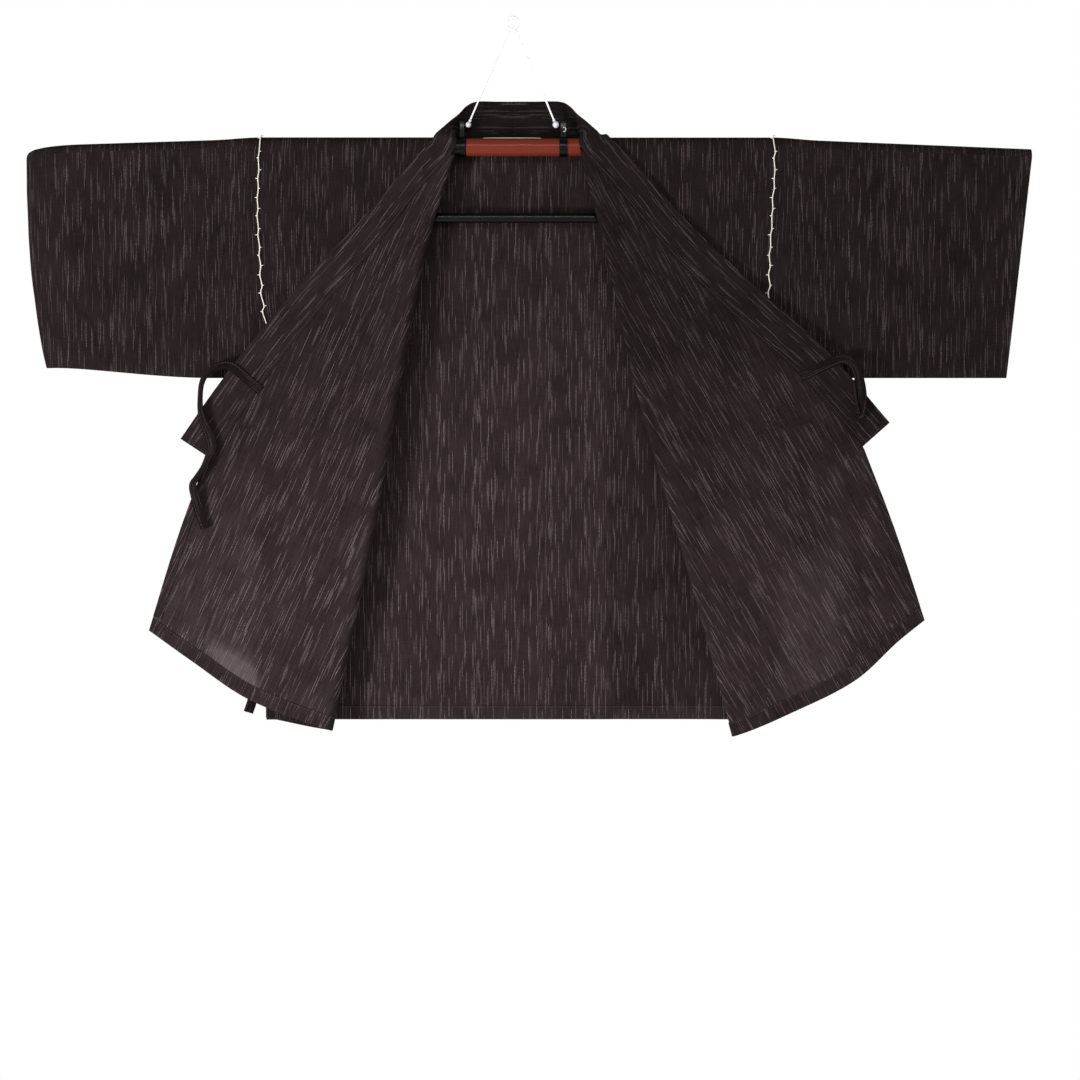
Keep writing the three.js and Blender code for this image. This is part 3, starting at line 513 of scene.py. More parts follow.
def front_surface(side, along, across):
    """A front turned back over itself: along runs down the fold and across runs over it."""
    along, across = np.asarray(along, float), np.asarray(across, float)
    sin, cos = lean_of(side)
    roll = roll_radius(side, along)
    start = TOP_ROLL - roll
    turned = across > start + 2 * roll
    rolling = (across > start) & ~turned
    turn = np.clip(math.pi * (across - start) / (2 * roll), 0, math.pi)
    reach = np.where(turned, 2 * TOP_ROLL - across, np.where(rolling, start + roll * np.sin(turn), across))
    forward = np.where(turned, 2 * roll, np.where(rolling, roll * (1 - np.cos(turn)), 0))
    bow = read(side["bow"], "along", along, "shift") * np.exp(-np.abs(reach) / BOW_FALLOFF)

    def place(out):
        return (side["neck_x"] + side["inward"] * (out * cos - along * sin + bow),
                side["neck_z"] - along * cos - out * sin)

    x, z = place(reach)
    fold_x, fold_z = place(start)
    at_fold = body_depth(fold_x, AXIS_Z - fold_z) + forward
    settled = np.exp(-(start - reach) / SETTLE_LENGTH)
    free = 1 - np.exp(-np.maximum(0, start - reach) / FREE_LENGTH)
    lift = (crease_height("front_" + side["name"], x, z) + FREE_LIFT + ripple(x, z, side["inward"])) * free
    y_turned = -lerp(TURNED_DEPTH, at_fold, settled) - lift
    shoulder_turn = (z - AXIS_Z) / SHOULDER_RADIUS
    radius = SHOULDER_RADIUS + forward
    on_shoulder = z > AXIS_Z
    body_lift = crease_height("body_" + side["name"], x, z) * soft(AXIS_Z - z, 0, 30)
    y = np.where(turned, y_turned,
                 np.where(on_shoulder, -radius * np.cos(shoulder_turn),
                          -body_depth(x, AXIS_Z - z) - forward - body_lift))
    z = np.where(on_shoulder & ~turned, AXIS_Z + radius * np.sin(shoulder_turn), z)
    points = np.stack([x, y, z], axis=-1)
    return np.where(turned[..., None], points, to_seam(side, points, False))


def edge_in(side, down):
    seam_end = side["seam"]["down"][-1]
    on_seam = read(side["seam"], "down", down, "in")
    on_edge = read(side["edge"], "down", np.minimum(down, side["edge"]["down"][-1]), "in")
    return np.where(down <= 0, 0, np.where(down <= seam_end, on_seam, on_edge))


def pattern_down(side, inward, row):
    """A row of the pattern drops with the hem's own curve, more the lower it lies."""
    table = side["hem"]
    hem = read(table, "in", np.clip(inward, table["in"][0], table["in"][-1]), "down")
    return row + (hem - HEM_DOWN) * (max(0, row) / HEM_DOWN) ** 3


def to_fold(side, inward, down):
    sin, cos = lean_of(side)
    return down * cos - inward * sin, inward * cos + down * sin


def to_pattern(side, along, across):
    """Flat pattern place, in from the neck point and down from it, for a UV map."""
    sin, cos = lean_of(side)
    return np.stack([across * cos - along * sin, along * cos + across * sin], axis=-1)


def seam_end_row(side):
    down, inward = side["seam"]["down"][-1], side["seam"]["in"][-1]
    return down - (float(pattern_down(side, inward, down)) - down)


def front_rows(side):
    top = side["neck_z"] - AXIS_Z - SHOULDER_RADIUS * math.radians(SHOULDER_SEAM_TURN)
    rows = [top, 0, 4, 9, 16, 34, seam_end_row(side), HEM_DOWN - HEM_HEIGHT, HEM_DOWN]
    return finer(rows, 7)


def front_row(side, row):
    """along and across for every column of one row: the body part, the roll, the turned part."""
    sin, cos = lean_of(side)
    side_in = -abs(side["side_x"] - side["neck_x"])
    roll = max(1.6, float(roll_radius(side, row)))
    seam_end = side["seam"]["down"][-1]

    def edge_at(down):
        under_collar = within(down, (4, 30), (seam_end - 9, seam_end - 2))
        return (edge_in(side, down) + SEAM_ALLOWANCE * under_collar) * cos + down * sin

    def turned(down):
        return np.minimum(TOP_ROLL + roll, edge_at(down) - 3)

    def under(down):
        return turned(down) - 2 * roll

    def place(across_at):
        down = row
        for _ in range(4):
            across = across_at(down)
            down = pattern_down(side, (across - down * sin) / cos, row)
        return (down - across * sin) / cos, across

    body = np.linspace(0, 1, BODY_COLUMNS)
    rolled, flat = np.linspace(0, 1, ROLL_COLUMNS)[1:], np.linspace(0, 1, FLAT_COLUMNS)[1:]
    parts = [
        place(lambda down: lerp(side_in * cos + down * sin, under(down), body)),
        place(lambda down: lerp(under(down), turned(down), rolled)),
        place(lambda down: lerp(turned(down), edge_at(down), flat)),
    ]
    return np.concatenate([p[0] for p in parts]), np.concatenate([p[1] for p in parts])


def back_surface(x, drop):
    x, drop = np.broadcast_arrays(np.asarray(x, float), np.asarray(drop, float))
    nearest = np.minimum(x - SIDES["left"]["neck_x"], SIDES["right"]["neck_x"] - x)
    neck = soft(nearest, -6, 4)
    crease = (BACK_CREASE["step"] * within(x, BACK_CREASE["x"], BACK_CREASE["fade"])
              * soft(drop, *BACK_CREASE["drop"]))
    from_side = np.minimum(x - SIDES["left"]["side_x"], SIDES["right"]["side_x"] - x)
    uneven = (ripple(x, -drop, 3) - crease_height("back", x, AXIS_Z - drop)) * soft(drop, 10, 80)
    uneven = uneven * soft(from_side, 0, 30)
    turn = np.maximum(0, -drop) / SHOULDER_RADIUS
    y_top = lerp(SHOULDER_RADIUS * np.cos(turn), NECK_DEPTH, neck)
    on_neck = -drop * (NECK_TOP - AXIS_Z) / SHOULDER_RISE
    z_top = AXIS_Z + lerp(SHOULDER_RADIUS * np.sin(turn), on_neck, neck)
    push = (NECK_DEPTH - SHOULDER_RADIUS) * neck * (1 - soft(drop, *PUSH_OUT))
    y = np.where(drop < 0, y_top, body_depth(x, drop) + push + crease + uneven)
    points = np.stack([x, y, np.where(drop < 0, z_top, AXIS_Z - drop)], axis=-1)
    return to_seam(SIDES["right"], to_seam(SIDES["left"], points, False), False)


def sleeve_depth(length, part):
    top = lerp(SHOULDER_RADIUS, SLEEVE_RADIUS, soft(length, 10, 60))
    return SLEEVE_FOLD_RADIUS + (top - SLEEVE_FOLD_RADIUS) * (1 - part**1.5)


def sleeve_ring(side, length):
    """One ring of a sleeve, round from the front of the top fold, with the length round it."""
    seam_gap = abs(SIDES["left"]["sleeve_x"] - SIDES["left"]["side_x"])
    axis = AXIS_Z - side["slope"] * (length + seam_gap - SEAM_GAP)
    bottom = AXIS_Z - SLEEVE_DROP + side["bottom_rise"] * float(soft(length, 60, side["sleeve_length"]))
    drop = axis - bottom
    over, down, under = np.linspace(0, math.pi, 17), np.linspace(0, 1, 41), np.linspace(0, math.pi, 7)
    radius = sleeve_depth(length, 0.0)
    y = np.concatenate([
        -radius * np.cos(over), sleeve_depth(length, down[1:]),
        SLEEVE_FOLD_RADIUS * np.cos(under[1:-1]), -sleeve_depth(length, down[::-1]),
    ])
    z = np.concatenate([
        axis + radius * np.sin(over), axis - down[1:] * drop,
        bottom - SLEEVE_FOLD_RADIUS * np.sin(under[1:-1]), axis - down[::-1] * drop,
    ])
    slant = side["slant"] * np.clip((axis - z) / drop, 0, 1) ** side["slant_power"]
    along = length - slant * (length / side["sleeve_length"]) ** 2
    inner = within(axis - z, (4, 40), (drop - 40, drop - 4)) * float(soft(length, 0, 30))
    flat_x = side["sleeve_x"] - side["inward"] * along
    uneven = crease_height("sleeve_" + side["name"], flat_x, z) + 0.8 * ripple(flat_x, z, 5 + side["inward"])
    y = y - np.where(y < 0, uneven, -0.6 * uneven) * inner
    curl = np.maximum(0, along - side["curl_start"]) / side["curl_radius"]
    straight = np.minimum(along, side["curl_start"]) + side["curl_radius"] * np.sin(curl)
    x = side["sleeve_x"] - side["inward"] * (straight - y * np.sin(curl))
    points = np.stack([x, side["curl_radius"] * (1 - np.cos(curl)) + y * np.cos(curl), z], axis=-1)
    points = to_seam(side, points, True)
    round_it = lengths_along(np.stack([y, z], axis=-1))
    return points, np.stack([along, round_it - math.pi * radius / 2], axis=-1)


# Mesh making for cloth
def grid_normals(points):
    down = np.gradient(points, axis=0)
    along = np.gradient(points, axis=1)
    normal = np.cross(down, along)
    return normal / np.maximum(np.linalg.norm(normal, axis=-1, keepdims=True), 1e-9)


def give_place(piece, slot, node=None):
    """Puts a piece on the part's one body, in its slot and, if given, in place of a CAD node."""
    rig.ride(piece, "root")
    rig.slot(piece, slot)
    if node:
        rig.replaces(piece, node)
    return piece


def finish_mesh(name, mesh, materials, slot, node=None):
    piece = bpy.data.objects.new(name, mesh)
    bpy.context.scene.collection.objects.link(piece)
    for material in materials:
        mesh.materials.append(material)
    return give_place(piece, slot, node)


def select_only(piece):
    bpy.ops.object.select_all(action="DESELECT")
    piece.select_set(True)
    bpy.context.view_layer.objects.active = piece


def apply_modifier(piece, modifier):
    select_only(piece)
    bpy.ops.object.modifier_apply(modifier=modifier.name)


def bevel_edges(piece, width, segments):
    """Rounds every sharp edge of a piece over a width in millimetres."""
    edge = piece.modifiers.new("rounded edges", "BEVEL")
    edge.width, edge.segments, edge.limit_method = width * MM, segments, "ANGLE"
    apply_modifier(piece, edge)


def tube_faces(first, rings, sides):
    """The faces of a closed tube: quads from ring to ring, and a cap on each end."""
    faces = []
    for i in range(rings - 1):
        for k in range(sides):
            a, b = first + i * sides + k, first + i * sides + (k + 1) % sides
            faces.append((a, b, b + sides, a + sides))
    last = first + (rings - 1) * sides
    faces.append(tuple(first + k for k in reversed(range(sides))))
    faces.append(tuple(last + k for k in range(sides)))
    return faces


def cloth(name, points, pattern, materials, slot, node, facing, thickness=SHELL, extra=None, cut=None):
    """A shell of cloth on a grid of points in millimetres, with its pattern place as UV map.

    facing turns the grid's normals into a number, below zero where the first material's side
    would look the wrong way. extra holds attributes of the points, and cut the flat width and
    length of a piece that lies slantwise on the pattern.
    """
    rows, cols = points.shape[:2]
    mesh = bpy.data.meshes.new(name)
    index = np.arange(rows * cols).reshape(rows, cols)
    quads = np.stack([index[:-1, :-1], index[1:, :-1], index[1:, 1:], index[:-1, 1:]], axis=-1)
    quads = quads.reshape(-1, 4)
    if facing and facing(grid_normals(points)) < 0:
        quads = quads[:, ::-1]
    mesh.from_pydata((points.reshape(-1, 3) * MM).tolist(), [], quads.tolist())
    uv = mesh.uv_layers.new(name="pattern")
    flat = pattern.reshape(-1, 2) * MM
    uv.data.foreach_set("uv", flat[quads.reshape(-1)].astype(np.float32).ravel())
    for attribute, values in (extra or {}).items():
        layer = mesh.attributes.new(attribute, "FLOAT", "POINT")
        layer.data.foreach_set("value", np.asarray(values, np.float32).ravel())
    piece = finish_mesh(name, mesh, materials, slot, node)
    shell = piece.modifiers.new("thickness", "SOLIDIFY")
    shell.thickness = thickness * MM
    shell.offset = 0
    if len(materials) > 1:
        shell.material_offset = 1
    apply_modifier(piece, shell)
    bpy.ops.object.shade_smooth_by_angle(angle=math.radians(50))
    low, high = flat.min(0), flat.max(0)
    side_a = flat[quads[:, 1]] - flat[quads[:, 3]]
    side_b = flat[quads[:, 0]] - flat[quads[:, 2]]
    area = float(np.abs(side_a[:, 0] * side_b[:, 1] - side_a[:, 1] * side_b[:, 0]).sum() / 2)
    width, length = np.array(cut) * MM if cut else high - low
    piece["cut"] = [float(width), float(length), area]
    return piece


def declare(piece, held, rests_on, with_pieces=()):
    width, length, area = piece["cut"]
    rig.sheet(piece, flat=(width, length), held=held, rests_on=rests_on,
             area=min(area, width * length), with_pieces=with_pieces)


def stitch_line(points, normals, way, thickness, lift=STITCH_LIFT):
    """A line for stitches just over a shell, on the side that its normals times way point to."""
    return points + way * normals * (thickness / 2 + lift), way * normals


def on_line(values, along, at):
    """The point or normal of a line at a length along it."""
    return np.array([np.interp(at, along, values[:, k]) for k in range(3)])


def stitches(name, lines):
    """Short stitches of dark thread on lines of points with normals, joined into one piece."""
    verts, faces = [], []
    for points, normals in lines:
        along = lengths_along(points)
        for at in np.arange(STITCH_STEP, along[-1] - STITCH_STEP, STITCH_STEP):
            middle, normal = on_line(points, along, at), on_line(normals, along, at)
            run = on_line(points, along, at + 1) - middle
            run /= np.linalg.norm(run)
            wide = np.cross(run, normal)
            faces += tube_faces(len(verts), len(STITCH_RINGS), STITCH_SIDES)
            for place, size in STITCH_RINGS:
                for k in range(STITCH_SIDES):
                    turn = 2 * math.pi * k / STITCH_SIDES
                    around = (wide * math.cos(turn) * STITCH_HALF_WIDTH
                              + normal * math.sin(turn) * STITCH_HALF_HEIGHT)
                    verts.append((middle + run * place * STITCH_LENGTH + around * size) * MM)
    mesh = bpy.data.meshes.new(name)
    mesh.from_pydata(verts, [], faces)
    mesh.polygons.foreach_set("use_smooth", [True] * len(mesh.polygons))
    return finish_mesh(name, mesh, [THREAD], "cloth")


def moved(surface, params, offset):
    """Points of a surface moved out along its own normal."""
    u, v = params
    h = 0.25
    du = surface(u + h, v) - surface(u - h, v)
    dv = surface(u, v + h) - surface(u, v - h)
    normal = np.cross(du, dv)
    normal /= np.linalg.norm(normal, axis=-1, keepdims=True)
    return surface(u, v) + normal * offset, normal


def folded_band(surface, rows, lift):
    """A band turned up from an edge: rows of params from the fold inwards, the first two the fold."""
    heights = np.full(len(rows), 1.0)
    heights[:2] = 0.12, 0.72
    flat, normal = moved(surface, in_two(rows), 0)
    return flat + normal * lift * heights[:, None, None], normal


# Materials
class Finish:
    """Builds the nodes of one material, one short call for each."""

    def __init__(self, name, roughness, sheen=0.0, specular=0.5, coat=0.0):
        self.material = bpy.data.materials.new(name)
        self.material.use_nodes = True
        self.tree = self.material.node_tree
        self.shader = self.tree.nodes["Principled BSDF"]
        self.shader.inputs["Roughness"].default_value = roughness
        self.shader.inputs["Sheen Weight"].default_value = sheen
        self.shader.inputs["Sheen Roughness"].default_value = 0.5
        self.shader.inputs["Specular IOR Level"].default_value = specular
        self.shader.inputs["Coat Weight"].default_value = coat
        self.shader.inputs["Coat Roughness"].default_value = 0.15

    def give(self, socket, value):
        if isinstance(value, bpy.types.NodeSocket):
            self.tree.links.new(value, socket)
        else:
            socket.default_value = value

    def math(self, operation, a, b=0.0, c=0.0):
        node = self.tree.nodes.new("ShaderNodeMath")
        node.operation = operation
        for socket, value in zip(node.inputs, (a, b, c)):
            self.give(socket, value)
        return node.outputs[0]

    def times(self, first, *others):
        for value in others:
            first = self.math("MULTIPLY", first, value)
        return first

    def line(self, value, slope, start):
        """The value times a slope, plus a start."""
        return self.math("MULTIPLY_ADD", value, slope, start)

    def wave(self, value, length):
        return self.math("SINE", self.times(value, 2 * math.pi / length))

    def step(self, value, start, end):
        node = self.tree.nodes.new("ShaderNodeMapRange")
        node.interpolation_type = "SMOOTHSTEP"
        for socket, given in zip(("Value", "From Min", "From Max"), (value, start, end)):
            self.give(node.inputs[socket], given)
        return node.outputs["Result"]

    def mix(self, factor, a, b, blend="MIX"):
        node = self.tree.nodes.new("ShaderNodeMix")
        node.data_type = "RGBA"
        node.blend_type = blend
        self.give(node.inputs["Factor"], factor)
        self.give(node.inputs["A"], a)
        self.give(node.inputs["B"], b)
        return node.outputs["Result"]

    def split(self, vector, kind="XYZ"):
        node = self.tree.nodes.new(f"ShaderNodeSeparate{kind}")
        self.tree.links.new(vector, node.inputs[0])
        return node.outputs

    def join(self, x, y, z=0.0):
        node = self.tree.nodes.new("ShaderNodeCombineXYZ")
        for socket, value in zip(node.inputs, (x, y, z)):
            self.give(socket, value)
        return node.outputs[0]

    def uv(self):
        node = self.tree.nodes.new("ShaderNodeUVMap")
        node.uv_map = "pattern"
        return self.split(node.outputs[0])[:2]

    def place(self):
        return self.tree.nodes.new("ShaderNodeTexCoord").outputs["Object"]

    def attribute(self, name):
        node = self.tree.nodes.new("ShaderNodeAttribute")
        node.attribute_name = name
        return node.outputs["Fac"]

    def noise(self, vector, scale, detail=2.0, roughness=0.5):
        node = self.tree.nodes.new("ShaderNodeTexNoise")
        self.tree.links.new(vector, node.inputs["Vector"])
        node.inputs["Scale"].default_value = scale
        node.inputs["Detail"].default_value = detail
        node.inputs["Roughness"].default_value = roughness
        return node.outputs["Fac"]

    def random(self, x, y=0.0):
        node = self.tree.nodes.new("ShaderNodeTexWhiteNoise")
        node.noise_dimensions = "2D"
        self.tree.links.new(self.join(x, y), node.inputs["Vector"])
        return [node.outputs["Value"], *self.split(node.outputs["Color"], "Color")]

    def finish(self, colour, height=None, distance=0.0002, strength=0.5, roughness=None):
        self.give(self.shader.inputs["Base Color"], colour)
        if roughness is not None:
            self.give(self.shader.inputs["Roughness"], roughness)
        if height is not None:
            bump = self.tree.nodes.new("ShaderNodeBump")
            bump.inputs["Strength"].default_value = strength
            bump.inputs["Distance"].default_value = distance
            self.give(bump.inputs["Height"], height)
            self.tree.links.new(bump.outputs["Normal"], self.shader.inputs["Normal"])
        return self.material


# Pattern and weave, in metres
YARN_PITCH = 0.00135
YARN_DRIFT = 0.0016
DYE_REPEAT = 0.072
WEAVE_PITCH = 0.0009
CORD_LAY = 0.0016
CORD_ROUND = 0.006
TAPE_RIB = 0.0007


def shade(colour, factor):
    return (*(c * factor for c in colour[:3]), 1.0)


def kasuri(name, ground, streak, seed=0.0, light_through=False, shaded=False):
    """Dark cotton whose warp yarns were tied before dyeing, so that each shows broken light dashes."""
    finish = Finish(name, roughness=0.95, specular=0.025)
    math_node, times, line, noise, join = finish.math, finish.times, finish.line, finish.noise, finish.join
    u, v = finish.uv()
    drift = noise(join(times(u, 6.0), v, seed), 14.0, 1.0)
    u = math_node("ADD", math_node("ADD", u, seed), times(drift, YARN_DRIFT))

    # Which yarn a point lies on, and whether it was tied
    across = math_node("DIVIDE", u, YARN_PITCH)
    yarn = math_node("FLOOR", across)
    inside = math_node("SUBTRACT", across, yarn)
    chance, phase, duty, tone = finish.random(yarn, 3.0)
    crowd = noise(join(times(yarn, 0.19), seed), 1.0, 1.0)
    tied = math_node("GREATER_THAN", chance, line(crowd, 0.8, 0.08))

    # Where its undyed dashes begin and end
    repeat = line(tone, 0.35, 0.82)
    along = math_node("DIVIDE", v, times(repeat, DYE_REPEAT))
    along = math_node("ADD", along, times(phase, 11.0))
    cell = math_node("FLOOR", along)
    part = math_node("SUBTRACT", along, cell)
    each = finish.random(yarn, cell)
    since = math_node("SUBTRACT", part, times(each[0], 0.3))
    length = line(duty, 0.2, line(each[1], 0.34, 0.08))
    begin = finish.step(since, 0.0, 0.1)
    end = finish.step(math_node("SUBTRACT", since, length), 0.0, 0.16)
    dash = times(begin, math_node("SUBTRACT", 1.0, end), tied)
    middle = math_node("ABSOLUTE", line(inside, 2.0, -1.0))
    profile = finish.step(middle, 0.56, 0.2)
    worn = finish.step(noise(join(u, v), 1300.0, 0.0), 0.36, 0.62)
    strength = line(each[2], 0.75, 0.25)
    dash = times(dash, profile, times(line(worn, 0.85, 0.15), strength))

    # Slubs of both yarns and a slow mottle under the dashes
    slub_warp = noise(join(times(u, 26.0), v, seed), 42.0, 2.0)
    slub_weft = noise(join(u, times(v, 26.0), seed), 42.0, 2.0)
    mottle = noise(join(u, v, seed), 22.0, 2.0)
    level = line(mottle, 0.3, line(slub_warp, 0.55, times(slub_weft, 0.25)))
    level = finish.step(level, 0.36, 0.74)
    colour = finish.mix(level, shade(ground, 0.62), shade(ground, 1.42))
    rust = (streak[0] * 0.95, streak[1] * 0.76, streak[2] * 0.72, 1)
    light = finish.mix(math_node("GREATER_THAN", duty, 0.95), (*streak, 1.0), rust)
    colour = finish.mix(dash, colour, light)
    # Painted light: a paler tone added where the light_through attribute marks single cloth, standing in for light
    # through the weave, uneven with the warp slubs.
    if light_through:
        lit = times(finish.attribute("light_through"), line(slub_warp, 2.4, -0.2))
        colour = finish.mix(lit, colour, finish.mix(1.0, colour, LIGHT_THROUGH, "ADD"))
    # Painted shade: the colour is darkened towards black as far as the shaded attribute says.
    if shaded:
        colour = finish.mix(finish.attribute("shaded"), colour, (0, 0, 0, 1))

    height = times(finish.wave(u, WEAVE_PITCH), finish.wave(v, WEAVE_PITCH))
    height = line(slub_weft, 0.7, line(height, 0.3, times(slub_warp, 0.9)))
    return finish.finish(colour, height, distance=0.00022, strength=0.55)


def grained(name, base, roughness, scale, amount, specular=0.5, coat=0.0, stretch=(1, 1, 1)):
    """Moulded plastic or coated metal: a fine grain with slight changes of tone and gloss."""
    finish = Finish(name, roughness, specular=specular, coat=coat)
    mapping = finish.tree.nodes.new("ShaderNodeMapping")
    mapping.inputs["Scale"].default_value = stretch
    finish.tree.links.new(finish.place(), mapping.inputs["Vector"])
    grain = finish.noise(mapping.outputs[0], scale, 3.0, 0.6)
    broad = finish.noise(mapping.outputs[0], scale * 0.04, 2.0)
    colour = finish.mix(broad, shade(base, 0.86), shade(base, 1.14))
    rough = finish.line(grain, 0.2, roughness - 0.1)
    return finish.finish(colour, grain, distance=0.00006, strength=amount, roughness=rough)


def twisted_cord():
    finish = Finish("twisted cream cord", 0.8, sheen=0.25, specular=0.25)
    u, v = finish.uv()
    ply = finish.math("SINE", finish.line(v, 2 * math.pi / CORD_LAY, finish.times(u, 900.0)))
    fuzz = finish.noise(finish.place(), 2600.0, 2.0)
    # The grooves between the plies are painted darker, as shade; the fuzz varies the tone at random.
    level = finish.line(ply, 0.3, fuzz)
    colour = finish.mix(finish.step(level, 0.1, 0.9), (0.48, 0.43, 0.35, 1), (0.86, 0.82, 0.73, 1))
    return finish.finish(colour, level, distance=0.0003, strength=0.7)


def woven_tape():
    finish = Finish("blank woven tape", 0.55, sheen=0.1, specular=0.4)
    u, v = finish.uv()
    ribs = finish.wave(v, TAPE_RIB)
    threads = finish.noise(finish.join(u, v), 1800.0, 1.0)
    colour = finish.mix(threads, (0.6, 0.58, 0.54, 1), (0.74, 0.73, 0.7, 1))
    return finish.finish(colour, finish.line(ribs, 0.5, threads), distance=0.0001)


def sewing_thread():
    finish = Finish("dark sewing thread", 0.6, sheen=0.1, specular=0.35)
    tone = finish.noise(finish.place(), 900.0, 1.0)
    return finish.finish(finish.mix(tone, (0.011, 0.008, 0.0085, 1), (0.02, 0.014, 0.015, 1)))


# LIGHT_THROUGH is the painted light added where the cloth is single, standing in for light shining through it.
LIGHT_THROUGH = (0.042, 0.034, 0.035, 1)
GROUND = (0.0215, 0.0146, 0.0152)
STREAK = (0.2, 0.166, 0.18)


def cotton(use, ground, streak, seed, **attributes):
    """The jacket's cotton for one use, with its ground and streaks at a share of their tones."""
    return kasuri(f"kasuri cotton {use}", shade(GROUND, ground), [c * streak for c in STREAK], seed,
                  **attributes)


RIGHT_SIDE = cotton("right side", 0.5, 0.56, 0.31)
WRONG_SIDE = cotton("wrong side", 0.93, 1, 0.0, shaded=True)
TURNED_SIDE = {
    "left": cotton("left front", 0.93, 0.93, 1.7, light_through=True, shaded=True),
    "right": cotton("right front", 0.92, 0.86, 2.3, light_through=True, shaded=True),
}
COLLAR_CLOTH = cotton("collar", 0.66, 0.76, 2.9, shaded=True)
BAND_CLOTH = cotton("bands", 0.78, 0.8, 0.8)
TIE_CLOTH = cotton("ties", 0.34, 0.3, 4.3)
THREAD = sewing_thread()
CORD = twisted_cord()
TAPE = woven_tape()
RED = grained("red brown satin plastic", (0.118, 0.0175, 0.0085), 0.2, 900.0, 0.03, specular=0.12,
              stretch=(0.05, 1, 1))
BLACK = grained("black moulded plastic", (0.0016, 0.0016, 0.0022), 0.2, 1400.0, 0.08, specular=0.16)
WHITE = grained("white glossy plastic", (0.5, 0.5, 0.53), 0.2, 800.0, 0.1, coat=0.4)
WIRE = grained("white coated wire", (0.68, 0.68, 0.7), 0.35, 900.0, 0.15, coat=0.2)
STEEL = grained("small steel clip", (0.42, 0.42, 0.44), 0.3, 900.0, 0.15)


# Cloth pieces
COLLAR_COLUMNS = np.linspace(0, 1, 13)
REST_REACH, REST_FALLOFF = 7, 3
LAID = {}


def rest_on(points, names, gap):
    """Brings points out to lie a gap in front of the laid cloth that is behind them."""
    flat = points.reshape(-1, 3).copy()
    for name in names:
        cover = LAID[name].reshape(-1, 3)
        for i, point in enumerate(flat):
            away = np.hypot(cover[:, 0] - point[0], cover[:, 2] - point[2])
            close = away < REST_REACH
            if close.sum() > 3:
                weight = np.exp(-((away[close] / REST_FALLOFF) ** 2))
                level = (cover[close, 1] * weight).sum() / weight.sum()
                flat[i, 1] = min(point[1], level - gap)
    eased = flat.reshape(points.shape)
    for _ in range(2):
        smooth = eased.copy()
        smooth[1:-1, :, 1] = (eased[:-2, :, 1] + 2 * eased[1:-1, :, 1] + eased[2:, :, 1]) / 4
        eased = smooth
    return eased


def towards(axis, rows=slice(None), cols=slice(None)):
    """Tells cloth() that the right side looks along this axis in that part of the grid."""
    def facing(normals):
        return float(np.mean(normals[rows, cols] @ np.array(axis, float)))
    return facing


def build_front(name):
    side = SIDES[name]
    along, across = in_two([front_row(side, row) for row in front_rows(side)])
    points = front_surface(side, along, across)
    pattern = to_pattern(side, along, across)
    LAID[f"front_{name}"] = points[:, BODY_COLUMNS + ROLL_COLUMNS:]
    # Painted shade on the front's upper part, fading downwards, and painted light where the cloth is single.
    shaded = side["neck_shade"] * (1 - soft(AXIS_Z - points[..., 2], *FRONT_SHADE_FADE))
    piece = cloth(
        f"front_{name}_cloth", points, pattern, [RIGHT_SIDE, TURNED_SIDE[name]], "cloth", f"front_{name}",
        towards((0, -1, 0), slice(20, 60), slice(0, 20)),
        extra={"light_through": single_layer(side, points, pattern), "shaded": shaded},
    )
    hem_rows = [front_row(side, HEM_DOWN - at) for at in HEM_ROWS]
    hem, hem_line = front_band("hem", side, hem_rows, HEM_STITCH_ROW)
    edge, edge_line = front_band("edge", side, front_edge_rows(side), EDGE_STITCH_ROW)
    sewn = stitches(f"stitches_front_{name}", [hem_line, edge_line])
    declare(piece, "hung", ["arm_inner_" + name], [hem, edge, sewn])
    declare(hem, "folded", [f"front_{name}"])
    declare(edge, "folded", [f"front_{name}"])


def single_layer(side, points, pattern):
    """How much painted light the cloth takes, standing in for light through the weave: the turned part where nothing
    lies behind it.
    """
    x, z = points[..., 0], points[..., 2]
    inward, down = pattern[..., 0], pattern[..., 1]
    outside = (side["side_x"] - x) * side["inward"]
    single = (soft(outside, 2, 16) * soft(AXIS_Z - SLEEVE_DROP - z, *side["through_fade"])
              * soft(past_roll(side, pattern), 4, 12))
    if side["name"] == "right":
        # The pocket is a second layer, and the painted light shows beside it alone.
        over_pocket = within(inward, (-70, -56), (71, 85)) * within(down, (410, 424), (566, 590))
        return 0.2 * single * (1 - over_pocket) * within(x, (318, 342), (384, 424))
    # On the left a pale patch of painted light over the hem's band, cut by a painted shadow of the side tie.
    hem = side["hem"]
    hem_down = read(hem, "in", np.clip(inward, hem["in"][0], hem["in"][-1]), "down")
    above_hem = hem_down - HEM_HEIGHT - down
    patch = np.exp(-((above_hem - 3) / 15) ** 2) * soft(above_hem, -3, 2)
    patch = patch * within(x, (-384, -340), (-296, -290)) * soft(z, -870, -850)
    strip = np.exp(-(((x + 309) / 7) ** 2))
    return 0.1 * single + 2.5 * patch * (1 - 0.85 * strip) * single


def past_roll(side, pattern):
    """How far past the roll a pattern point lies."""
    sin, cos = lean_of(side)
    across = pattern[..., 0] * cos + pattern[..., 1] * sin
    along = pattern[..., 1] * cos - pattern[..., 0] * sin
    return across - TOP_ROLL - roll_radius(side, along)


def front_edge_rows(side):
    """Rows of the band down a front's edge, from the collar's end to the band of the hem."""
    downs = np.linspace(side["seam"]["down"][-1] + 2, side["edge"]["down"][-1] - HEM_HEIGHT - 1.5, 32)
    return [to_fold(side, edge_in(side, downs) - inset, downs) for inset in EDGE_ROWS]


